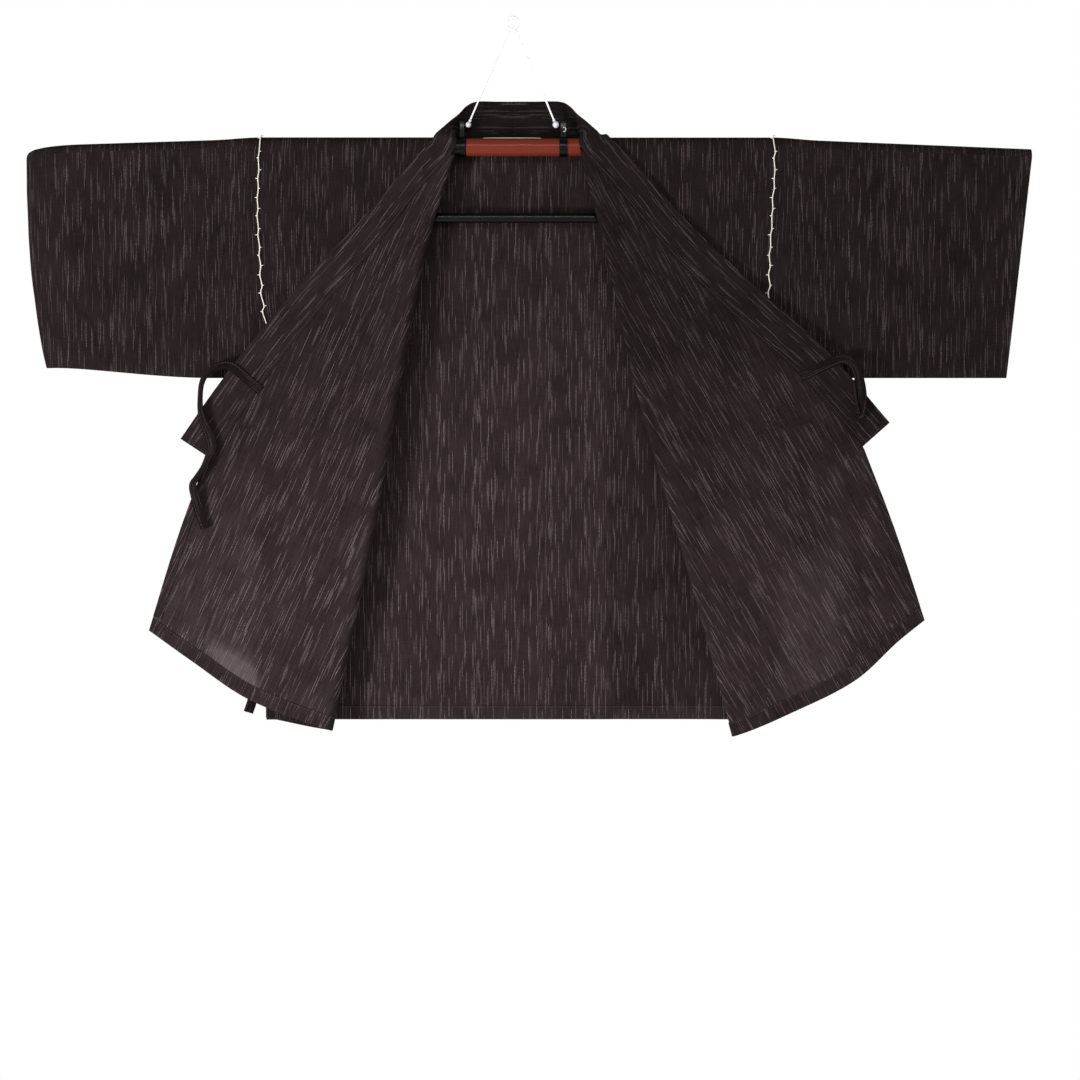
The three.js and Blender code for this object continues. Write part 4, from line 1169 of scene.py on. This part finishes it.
def front_band(kind, side, rows, stitch_row):
    """A turned band on the hem or the edge of a front, and the line that its stitches follow."""
    way = -side["inward"]
    points, normals = folded_band(partial(front_surface, side), rows, way * BAND_LIFT)
    cut = None
    if kind == "edge":
        cut = (EDGE_BAND_WIDTH, float(np.hypot(*np.ptp(points[0][:, ::2], axis=0))))
    piece = cloth(
        f"{kind}_front_{side['name']}_band", points, to_pattern(side, *in_two(rows)), [BAND_CLOTH], "cloth",
        f"{kind}_front_{side['name']}", towards((0, -1, 0)), BAND_SHELL, cut=cut,
    )
    return piece, stitch_line(points[stitch_row], normals[stitch_row], way, BAND_SHELL)


def build_pocket():
    side = SIDES["right"]
    way = side["inward"]
    inward, down = np.meshgrid(np.linspace(*POCKET_IN, 26), np.linspace(*POCKET_DOWN, 28))
    points, normals = moved(partial(front_surface, side), to_fold(side, inward, down), way * BAND_LIFT)
    piece = cloth("pocket_patch", points, np.stack([inward, down], axis=-1), [RIGHT_SIDE], "cloth", "pocket",
                  towards((0, 1, 0)), BAND_SHELL)
    lines = [stitch_line(points[:, k], normals[:, k], way, BAND_SHELL) for k in (1, -2)]
    lines += [stitch_line(points[k], normals[k], way, BAND_SHELL) for k in (3, -2)]
    declare(piece, "laid", ["front_right"], [stitches("stitches_pocket", lines)])


def build_back():
    left, right = SIDES["left"], SIDES["right"]
    xs = finer([left["side_x"], left["neck_x"], right["neck_x"], *BACK_CREASE["x"], right["side_x"]], 6)
    drops = finer([-SHOULDER_RISE, 0, *PUSH_OUT, BACK_HEM_DROP - HEM_HEIGHT, BACK_HEM_DROP], 7)
    x, drop = np.meshgrid(xs, drops)
    # Painted shade on the back: from the crease rightwards beside the right fold, and at its top near the neck.
    by_fold = FOLD_SHADE["level"] * soft(x, *FOLD_SHADE["x"]) * soft(drop, *FOLD_SHADE["drop"])
    by_neck = NECK_SHADE["level"] * (1 - soft(drop, *NECK_SHADE["fade"]))
    piece = cloth("back_cloth", back_surface(x, drop), np.stack([x, drop], axis=-1),
                  [RIGHT_SIDE, WRONG_SIDE], "cloth", "back", towards((0, 1, 0)),
                  extra={"shaded": np.maximum(by_fold, by_neck)})
    rows = [(xs, np.full(len(xs), BACK_HEM_DROP - at)) for at in HEM_ROWS]
    points, normals = folded_band(back_surface, rows, -BAND_LIFT * band_way(back_surface, rows))
    hem = cloth("hem_back_band", points, np.stack(in_two(rows), axis=-1), [WRONG_SIDE], "cloth",
                "hem_back", towards((0, -1, 0)), BAND_SHELL)
    line, normals = points[HEM_STITCH_ROW], normals[HEM_STITCH_ROW]
    sewn = stitches("stitches_back", [stitch_line(line, normals, -np.sign(normals[:, 1:2]), BAND_SHELL)])
    declare(piece, "hung", ["arm_inner_left", "arm_inner_right"], [hem, sewn])
    declare(hem, "folded", ["back"])
    inner_label()


def band_way(surface, rows):
    """1 where the surface's own normal points away from the viewer, and -1 where towards."""
    _, normals = moved(surface, in_two(rows), 0)
    return float(np.sign(normals[..., 1].mean()))


def inner_label():
    x, drop = np.meshgrid(np.linspace(*LABEL_X, 20), np.linspace(LABEL_TOP, 6, 10))
    points = back_surface(x, drop) + np.array([0, -BAND_LIFT - 0.2, 0])
    points[..., 2] += LABEL_BULGE * (1 - (x / LABEL_X[0]) ** 2) * (drop < 0)
    piece = cloth("neck_label_tape", points, np.stack([x, drop], axis=-1), [TAPE], "label", "neck_label",
                  towards((0, -1, 0)), LABEL_SHELL)
    declare(piece, "laid", ["back"])


def collar_over_neck(side):
    """Lines across the collar from the centre back to the neck point, sewn edge to free edge."""
    neck = [{k: np.array([side["neck_x"] + side["inward"] * p[0], p[1], p[2]]) for k, p in row.items()}
            for row in NECK_COLLAR]
    centre = [{k: np.array([lerp(side["centre_x"], p[0], share),
                            p[1] + side["centre_behind"] * (1 - 2 * share), p[2]])
               for k, p in neck[0].items()} for share in (0, 0.5)]
    t = COLLAR_COLUMNS[:, None]
    return [(1 - t) * (1 - 2 * t) * row["seam"] + 4 * t * (1 - t) * row["mid"] + t * (2 * t - 1) * row["free"]
            for row in centre + neck]


def collar_on_front(side):
    """Lines across the collar down the seam, laid on the turned front."""
    seam_end = side["seam"]["down"][-1]
    lines = []
    for row in finer([14, 34, seam_end_row(side) - side["collar_short"]], 8):
        down = float(pattern_down(side, edge_in(side, row), row))
        below, above = min(down + 2, seam_end), max(0, down - 2)
        lean = float((edge_in(side, below) - edge_in(side, above)) / (below - above))
        out = np.array([1, -lean]) / math.hypot(1, lean)
        wide = float(read(side["collar"], "down", down, "wide"))
        overlap = COLLAR_OVERLAP * float(soft(row, 4, 30))
        u = lerp(SEAM_GAP - overlap, wide, COLLAR_COLUMNS)
        place = to_fold(side, float(edge_in(side, down)) + out[0] * u, down + out[1] * u)
        lift = -side["inward"] * COLLAR_LIFT * float(soft(row, 2, 30))
        lines.append(moved(partial(front_surface, side), place, lift)[0])
    return lines


def build_collar(name):
    side = SIDES[name]
    over_neck = collar_over_neck(side)
    coarse = np.array(over_neck + collar_on_front(side))
    split = len(over_neck) + 2
    points = np.concatenate([smooth_through(coarse[:split], 5)[:-1], coarse[split - 1:]])
    LAID[f"collar_{name}"] = points[split + 20:]
    along = lengths_along(points[:, 6])
    width = np.linalg.norm(np.diff(points, axis=1), axis=2).cumsum(axis=1)
    width = np.concatenate([np.zeros((len(points), 1)), width], axis=1)
    pattern = np.stack([width, np.repeat(along[:, None], width.shape[1], axis=1)], axis=-1)
    # Painted shade on the collar: heavier where it lies behind, round the neck, and an even share over each side's
    # collar.
    behind = COLLAR_BACK_SHADE["level"] * soft(points[..., 1], *COLLAR_BACK_SHADE["y"])
    piece = cloth(f"collar_{name}_cloth", points, pattern, [COLLAR_CLOTH], "cloth", f"collar_{name}",
                  towards((0, -1, 0), slice(-30, None)), COLLAR_SHELL,
                  extra={"shaded": np.maximum(behind, side["collar_shade"])})
    shown = slice(split + 30, None)
    normals = grid_normals(points)
    way = -np.sign(normals[shown, 1, 1].mean())
    near_end = points[-1, 1:-1] * 0.6 + points[-2, 1:-1] * 0.4
    lines = [stitch_line(line, normal, way, COLLAR_SHELL, COLLAR_STITCH_LIFT)
             for line, normal in ((points[shown, 1], normals[shown, 1]), (near_end, normals[-1, 1:-1]))]
    declare(piece, "hung", [f"front_{name}", "back"], [stitches(f"stitches_collar_{name}", lines)])


def build_sleeve(name):
    side = SIDES[name]
    lengths = finer([0, 12, side["sleeve_length"] - 16, side["sleeve_length"]], 7)
    points, pattern = in_two([sleeve_ring(side, length) for length in lengths])
    piece = cloth(f"sleeve_{name}_cloth", points, pattern, [RIGHT_SIDE, WRONG_SIDE], "cloth",
                  f"sleeve_{name}", towards((0, 0, 1), slice(None), slice(4, 13)))
    close_tube(piece)
    line, normals = points[SLEEVE_STITCH_ROW], grid_normals(points)[SLEEVE_STITCH_ROW]
    sewn = stitches(f"stitches_sleeve_{name}", [stitch_line(line, normals, np.sign(normals[8, 2]), SHELL)])
    declare(piece, "hung", [f"arm_outer_{name}"], [sewn])


def close_tube(piece):
    """Joins the first and last columns of a tube, which lie in the same places."""
    select_only(piece)
    bpy.ops.object.mode_set(mode="EDIT")
    bpy.ops.mesh.select_all(action="SELECT")
    bpy.ops.mesh.remove_doubles(threshold=0.00002)
    bpy.ops.mesh.select_all(action="DESELECT")
    bpy.ops.mesh.select_interior_faces()
    bpy.ops.mesh.delete(type="FACE")
    bpy.ops.object.mode_set(mode="OBJECT")


def build_tie(name):
    """A strap of the jacket's cloth, sewn down both edges, along its own line of TIE_PATHS."""
    place, side_name = name.split("_")[1:]
    rows = smooth_through(TIE_PATHS[name], 7)
    middle, turn = rows[:, :3], np.radians(rows[:, 3])
    tangent = np.gradient(middle, axis=0)
    tangent /= np.linalg.norm(tangent, axis=1, keepdims=True)
    wide = np.empty_like(tangent)
    carried = np.cross(tangent[0], (0, 1, 0))
    for i, run in enumerate(tangent):
        carried = carried - run * (carried @ run)
        carried /= np.linalg.norm(carried)
        wide[i] = carried
    face = np.cross(wide, tangent)
    wide = wide * np.cos(turn)[:, None] + np.cross(tangent, wide) * np.sin(turn)[:, None]
    across = np.linspace(-1, 1, 7)
    points = middle[:, None] + wide[:, None] * (across * TIE_WIDTH / 2)[None, :, None]
    points = points + face[:, None] * (TIE_CUP * across**2)[None, :, None]
    rests_on = "back"
    if place == "collar":
        rests_on = f"collar_{side_name}"
        gap = STRAP_SHELL / 2 + COLLAR_SHELL / 2 + 0.1
        points = rest_on(points, [f"front_{side_name}", rests_on], gap)
    pattern = np.stack(np.meshgrid(across * TIE_WIDTH / 2, lengths_along(middle)), axis=-1)
    piece = cloth(f"{name}_strap", points, pattern, [TIE_CLOTH], "cloth", name, None, STRAP_SHELL)
    bevel_edges(piece, 0.4, 2)
    normals = grid_normals(points)
    lines = [stitch_line(points[:, 1], normals[:, 1], way, STRAP_SHELL, TIE_STITCH_LIFT) for way in (-1, 1)]
    held = "draped" if place == "collar" else "hung"
    declare(piece, held, [rests_on], [stitches(f"stitches_{name}", lines)])


# Lacing
LACE_RADIUS = 0.64
LACE_STEP = 12
LACE_CLEARANCE = 0.5
LACE_TOP_CLEARANCE = 1.2
LACE_BARB = 3.0


def tube(points, radius, sides=10):
    """Rings of a round cord along points, tapered at both ends."""
    points = np.array(points, float)
    tangent = np.gradient(points, axis=0)
    tangent /= np.linalg.norm(tangent, axis=1, keepdims=True)
    aside = np.cross(tangent, (0.31, 0.9, 0.29))
    aside /= np.linalg.norm(aside, axis=1, keepdims=True)
    upright = np.cross(tangent, aside)
    turns = np.linspace(0, 2 * math.pi, sides, endpoint=False)
    around = aside[:, None] * np.cos(turns)[None, :, None] + upright[:, None] * np.sin(turns)[None, :, None]
    size = np.full(len(points), radius)
    size[[0, -1]] = radius * 0.45
    return points[:, None] + around * size[:, None, None]


def cord_mesh(name, tubes, material, slot, node=None):
    """Tubes of rings as one piece, with the way round and the length along as UV map."""
    verts, faces, uvs = [], [], []
    for rings in tubes:
        count, sides = rings.shape[:2]
        faces += tube_faces(len(verts), count, sides)
        verts += (rings.reshape(-1, 3) * MM).tolist()
        along = lengths_along(rings.mean(axis=1)) * MM
        for i in range(count - 1):
            for k in range(sides):
                a, b = k / sides * CORD_ROUND, (k + 1) / sides * CORD_ROUND
                uvs += [(a, along[i]), (b, along[i]), (b, along[i + 1]), (a, along[i + 1])]
        uvs += [(0, 0)] * sides * 2
    mesh = bpy.data.meshes.new(name)
    mesh.from_pydata(verts, [], faces)
    layer = mesh.uv_layers.new(name="pattern")
    layer.data.foreach_set("uv", np.array(uvs, np.float32).ravel())
    mesh.polygons.foreach_set("use_smooth", [True] * len(mesh.polygons))
    return finish_mesh(name, mesh, [material], slot, node)


def build_lacing(name):
    """A cord that swings from body to sleeve and back, with a short stitch out at each turn."""
    side = SIDES[name]
    middle_x = (side["side_x"] + side["sleeve_x"]) / 2
    lift = SHELL / 2 + LACE_RADIUS + LACE_CLEARANCE
    quarter = SHOULDER_RADIUS * math.pi / 2

    def at(run, swing):
        drop = abs(run) - quarter
        drift = float(read(ARMHOLE_SEAM[name], "drop", max(0, drop), "shift"))
        x = middle_x + swing + drift - (side["inward"] * REAR_OFFSET if run > 0 else 0)
        if drop > 0:
            depth = sleeve_depth(0, drop / SLEEVE_DROP) + lift
            depth += LACE_TOP_CLEARANCE * (1 - float(soft(drop, 0, 20)))
            return np.array([x, math.copysign(depth, run), AXIS_Z - drop])
        turn = math.pi / 2 - run / SHOULDER_RADIUS
        radius = SHOULDER_RADIUS + lift + LACE_TOP_CLEARANCE
        return np.array([x, radius * math.cos(turn), AXIS_Z + radius * math.sin(turn)])

    half = SLEEVE_DROP - 6 + quarter
    count = 2 * round(half / LACE_STEP)
    turns, spine, barbs = np.linspace(-half, half, count + 1), [], []
    uneven = np.sin(np.arange(count + 1) * 2.4) * 1.1
    for i, run in enumerate(turns):
        way = 1 if i % 2 else -1
        run = run + (uneven[i] - 1.3 * way if 0 < i < count else 0)
        swing = way * (0.5 + 1.0 * float(soft(abs(run), 120, 240)))
        spine.append(at(run, swing))
        out = LACE_BARB + 0.6 * math.sin(i * 1.9)
        tip = at(run - math.copysign(0.5 + 0.5 * math.sin(i * 3.1), run), swing + way * out)
        root = at(run, swing - way * 0.3)
        bend = (root + tip) / 2 + np.array([0, math.copysign(0.2, run), 0])
        tip[1] -= math.copysign(0.7, run)
        barbs.append(tube([root, bend, tip], LACE_RADIUS * 0.9, 8))
    main = tube(smooth_through(spine, 6), LACE_RADIUS)
    cord_mesh(f"lacing_{name}_cord", [main, *barbs], CORD, "lace", f"lacing_{name}")


# Hanger, modelled with Blender's own tools
def new_piece(name, material, slot, node=None):
    """Takes the object just made, applies its place and gives it its body, slot and finish."""
    piece = bpy.context.object
    piece.name = name
    bpy.ops.object.transform_apply(location=True, rotation=True, scale=True)
    piece.data.materials.clear()
    piece.data.materials.append(material)
    return give_place(piece, slot, node)


def rounded(piece, width, segments=3):
    bevel_edges(piece, width, segments)
    bpy.ops.object.shade_smooth_by_angle(angle=math.radians(35))


def add_cylinder(low_x, high_x, radius, z, vertices=64):
    """A plain cylinder along X, between two places in metres."""
    bpy.ops.object.select_all(action="DESELECT")
    bpy.ops.mesh.primitive_cylinder_add(
        vertices=vertices, radius=radius * MM, depth=high_x - low_x, end_fill_type="NGON",
        location=((low_x + high_x) / 2, 0, z * MM), rotation=(0, math.pi / 2, 0),
    )


def add_block(middle_x, width, depth, foot, top):
    """A plain block from foot to top; only its depth is in millimetres."""
    bpy.ops.object.select_all(action="DESELECT")
    bpy.ops.mesh.primitive_cube_add(size=1, location=(middle_x, 0, (foot + top) / 2),
                                    scale=(width, depth * MM, top - foot))


def select_faces(piece, wanted):
    """Goes into edit mode with only those faces selected whose normal is wanted."""
    bpy.ops.object.mode_set(mode="EDIT")
    bpy.ops.mesh.select_all(action="DESELECT")
    bpy.ops.object.mode_set(mode="OBJECT")
    for face in piece.data.polygons:
        face.select = wanted(face.normal)
    bpy.ops.object.mode_set(mode="EDIT")


def sideways(normal):
    return abs(normal.x) > 0.9


def upwards(normal):
    return normal.z > 0.9


def rod_along_x(name, node, radius, z, material=BLACK, slot="hanger_black", groove=None):
    """A round rod over a node's own length, with rounded ends and, if given, a turned groove."""
    low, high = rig.box(node)
    add_cylinder(low.x, high.x, radius, z)
    piece = new_piece(name, material, slot, node)
    if groove:
        bpy.ops.object.mode_set(mode="EDIT")
        for at in groove:
            bpy.ops.mesh.select_all(action="SELECT")
            bpy.ops.mesh.bisect(plane_co=(at * MM, 0, 0), plane_no=(1, 0, 0))
        bpy.ops.object.mode_set(mode="OBJECT")
        for vertex in piece.data.vertices:
            if groove[0] * MM + 1e-5 < vertex.co.x < groove[-1] * MM - 1e-5:
                vertex.co.y *= GROOVE_SCALE
                vertex.co.z = z * MM + (vertex.co.z - z * MM) * GROOVE_SCALE
    rounded(piece, 0.6)


def build_clip(name):
    """A ring round the tube with an ear that carries the bail, pressed from black plastic."""
    low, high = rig.box(f"clip_{name}")
    add_cylinder(low.x, high.x, CLIP_RADIUS, AXIS_Z)
    piece = new_piece(f"clip_{name}_ring", BLACK, "hanger_black", f"clip_{name}")
    select_faces(piece, sideways)
    bpy.ops.mesh.inset(thickness=CLIP_WALL * MM, use_individual=True)
    bpy.ops.mesh.bridge_edge_loops()
    bpy.ops.mesh.select_all(action="SELECT")
    bpy.ops.mesh.normals_make_consistent(inside=False)
    bpy.ops.object.mode_set(mode="OBJECT")
    rounded(piece, 0.18, 2)
    add_block((low.x + high.x) / 2, (high.x - low.x) * 0.72, 6, (AXIS_Z + EAR_FOOT) * MM, high.z)
    ear = new_piece(f"clip_{name}_ear", BLACK, "hanger_black")
    select_faces(ear, upwards)
    bpy.ops.mesh.inset(thickness=0.8 * MM)
    bpy.ops.transform.translate(value=(0, 0, -0.6 * MM))
    bpy.ops.object.mode_set(mode="OBJECT")
    rounded(ear, 0.5)


def build_link(name):
    """A flat plate with a seat on the arm above and an eye round the lower bar."""
    low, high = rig.box(f"bar_link_{name}")
    add_cylinder(low.x, high.x, 9, BAR_Z, vertices=48)
    rounded(new_piece(f"bar_link_{name}_eye", BLACK, "hanger_black", f"bar_link_{name}"), 0.7)
    add_block((low.x + high.x) / 2, high.x - low.x, 14, (BAR_Z + 5) * MM, high.z - 3.2 * MM)
    plate = new_piece(f"bar_link_{name}_plate", BLACK, "hanger_black")
    select_faces(plate, sideways)
    bpy.ops.mesh.inset(thickness=1.6 * MM, depth=-0.8 * MM, use_individual=True)
    bpy.ops.object.mode_set(mode="OBJECT")
    rounded(plate, 0.5)


def build_bead(name):
    low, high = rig.box(f"bead_{name}")
    centre, radius = (low + high) / 2, (high.x - low.x) / 2
    bpy.ops.object.select_all(action="DESELECT")
    bpy.ops.mesh.primitive_uv_sphere_add(segments=32, ring_count=20, radius=radius, location=centre)
    new_piece(f"bead_{name}_ball", WHITE, "bead", f"bead_{name}")
    bpy.ops.object.mode_set(mode="EDIT")
    bpy.ops.mesh.select_all(action="SELECT")
    bpy.ops.transform.resize(value=(1, 1, 1.06), center_override=centre)
    bpy.ops.object.mode_set(mode="OBJECT")
    bpy.ops.object.shade_smooth()


def build_wire(name):
    """The coated wire from a bead up to the ring, with a small collar at each end."""
    way = -1 if name == "left" else 1
    low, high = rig.box(f"bead_{name}")
    foot = np.array((low + high) / 2) / MM
    ring = np.array([0, 0, RING_Z])
    up = (ring - foot) / np.linalg.norm(ring - foot)
    start, stop = foot + up * (float(high.x - low.x) / 2 / MM - 0.4), ring - up * 9.3
    bow = np.array([way * BAIL_BOW, 0, 0])
    line = [lerp(start, stop, t) + bow * math.sin(math.pi * t) for t in np.linspace(0, 1, 24)]
    collars = [tube([place + up * out for out in (-1.4, -1.2, 1.2, 1.4)], WIRE_COLLAR, 16)
               for place in (start + up * 2.2, stop - up * 2.2)]
    cord_mesh(f"bail_wire_{name}_rod", [tube(line, BAIL_WIRE, 16), *collars], WIRE, "wire",
              f"bail_wire_{name}")


def build_ring():
    bpy.ops.object.select_all(action="DESELECT")
    bpy.ops.mesh.primitive_torus_add(
        major_radius=RING_RADIUS * MM, minor_radius=RING_WIRE * MM, major_segments=64, minor_segments=20,
        location=(0, 0, RING_Z * MM), rotation=(math.pi / 2, 0, 0),
    )
    new_piece("hang_ring_loop", WIRE, "wire", "hang_ring")
    bpy.ops.object.shade_smooth()


def build_clasp():
    """A small open steel ring hooked over the right clip's ear."""
    low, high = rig.box("clip_right")
    middle = np.array([(low.x + high.x) / 2 / MM + 0.9, -3.9, -137.2])
    turns = np.radians(np.linspace(-130, 130, 28))
    line = [middle + np.array([2.1 * math.cos(t), -0.3 * math.sin(t), 2.5 * math.sin(t)]) for t in turns]
    cord_mesh("steel_clasp", [tube(line, 0.55, 12)], STEEL, "wire")


def build_hanger():
    rod_along_x("hanger_tube_red", "hanger_tube", TUBE_RADIUS, AXIS_Z, RED, "tube_red")
    rod_along_x("hanger_cap_black", "hanger_cap", TUBE_RADIUS, AXIS_Z, groove=CAP_GROOVE)
    rod_along_x("lower_bar_black", "lower_bar", BAR_RADIUS, BAR_Z)
    for name in SIDES:
        rod_along_x(f"arm_inner_{name}_rod", f"arm_inner_{name}", TUBE_RADIUS, AXIS_Z)
        build_clip(name)
        build_link(name)
        build_bead(name)
        build_wire(name)
        arm = frame["nodes"][f"arm_outer_{name}"]
        arm.data.materials.clear()
        arm.data.materials.append(BLACK)
    build_clasp()
    build_ring()


build_back()
for side_name in SIDES:
    build_front(side_name)
    build_collar(side_name)
    build_sleeve(side_name)
    build_lacing(side_name)
build_pocket()
for tie_name in TIE_PATHS:
    build_tie(tie_name)
build_hanger()


# Studio: a pale floor well below, soft light from the lower left front, and the camera
CAMERA_PLACE = (0.0338, -4.0, -0.6417)
CAMERA_LENS = 108.4
FLOOR_Z = -2.0
FLOOR_SIZE = 7


def area_light(name, place, aim, size, power):
    bpy.ops.object.light_add(type="AREA", location=place)
    light = bpy.context.object
    light.name = name
    light.rotation_euler = (Vector(aim) - Vector(place)).to_track_quat("-Z", "Y").to_euler()
    light.data.shape = "RECTANGLE"
    light.data.size, light.data.size_y = size
    light.data.energy = power


def pale_surroundings():
    """White all round at eye level and a little dimmer above and below."""
    world = bpy.data.worlds.new("pale studio")
    bpy.context.scene.world = world
    world.use_nodes = True
    tree = world.node_tree
    where = tree.nodes.new("ShaderNodeTexCoord")
    split = tree.nodes.new("ShaderNodeSeparateXYZ")
    level = tree.nodes.new("ShaderNodeMath")
    level.operation = "ABSOLUTE"
    fade = tree.nodes.new("ShaderNodeMapRange")
    fade.interpolation_type = "SMOOTHSTEP"
    for socket, value in zip(("From Min", "From Max", "To Min", "To Max"), (0.24, 0.6, 1.0, 0.3)):
        fade.inputs[socket].default_value = value
    tree.links.new(where.outputs["Generated"], split.inputs[0])
    tree.links.new(split.outputs["Z"], level.inputs[0])
    tree.links.new(level.outputs[0], fade.inputs["Value"])
    tree.links.new(fade.outputs["Result"], tree.nodes["Background"].inputs["Strength"])
    tree.nodes["Background"].inputs["Color"].default_value = (1, 1, 1, 1)


def build_studio():
    bpy.context.scene.view_settings.view_transform = "Standard"
    bpy.ops.mesh.primitive_plane_add(size=FLOOR_SIZE, location=(0, 0, FLOOR_Z))
    floor = bpy.context.object
    floor.name = "studio_floor"
    bpy.ops.object.transform_apply(location=True, rotation=True, scale=True)
    paint = Finish("pale floor", 0.8, specular=0.2)
    tone = paint.noise(paint.place(), 3.0, 2.0)
    floor.data.materials.append(paint.finish(paint.mix(tone, (0.8, 0.8, 0.8, 1), (0.84, 0.84, 0.84, 1))))
    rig.stage(floor)
    pale_surroundings()
    middle = (0, 0, -0.5)
    area_light("key", (-1.9, -1.6, -1.3), middle, (0.5, 0.5), 74)
    area_light("strip", (0.05, -1.7, 0.55), (0, 0, -0.2), (1.6, 0.05), 12)
    area_light("rear", (2.0, 2.8, 0.9), middle, (1.6, 1.6), 150)
    bpy.ops.object.camera_add(location=CAMERA_PLACE, rotation=(math.pi / 2, 0, 0))
    camera = bpy.context.object
    camera.data.sensor_width = 36
    camera.data.lens = CAMERA_LENS
    camera.data.clip_start, camera.data.clip_end = 0.1, 60
    bpy.context.scene.camera = camera


build_studio()

low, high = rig.bounds()
with open("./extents.json", "w") as out:
    json.dump({"cad": [list(cad_low), list(cad_high)], "visual": [list(low), list(high)]}, out)
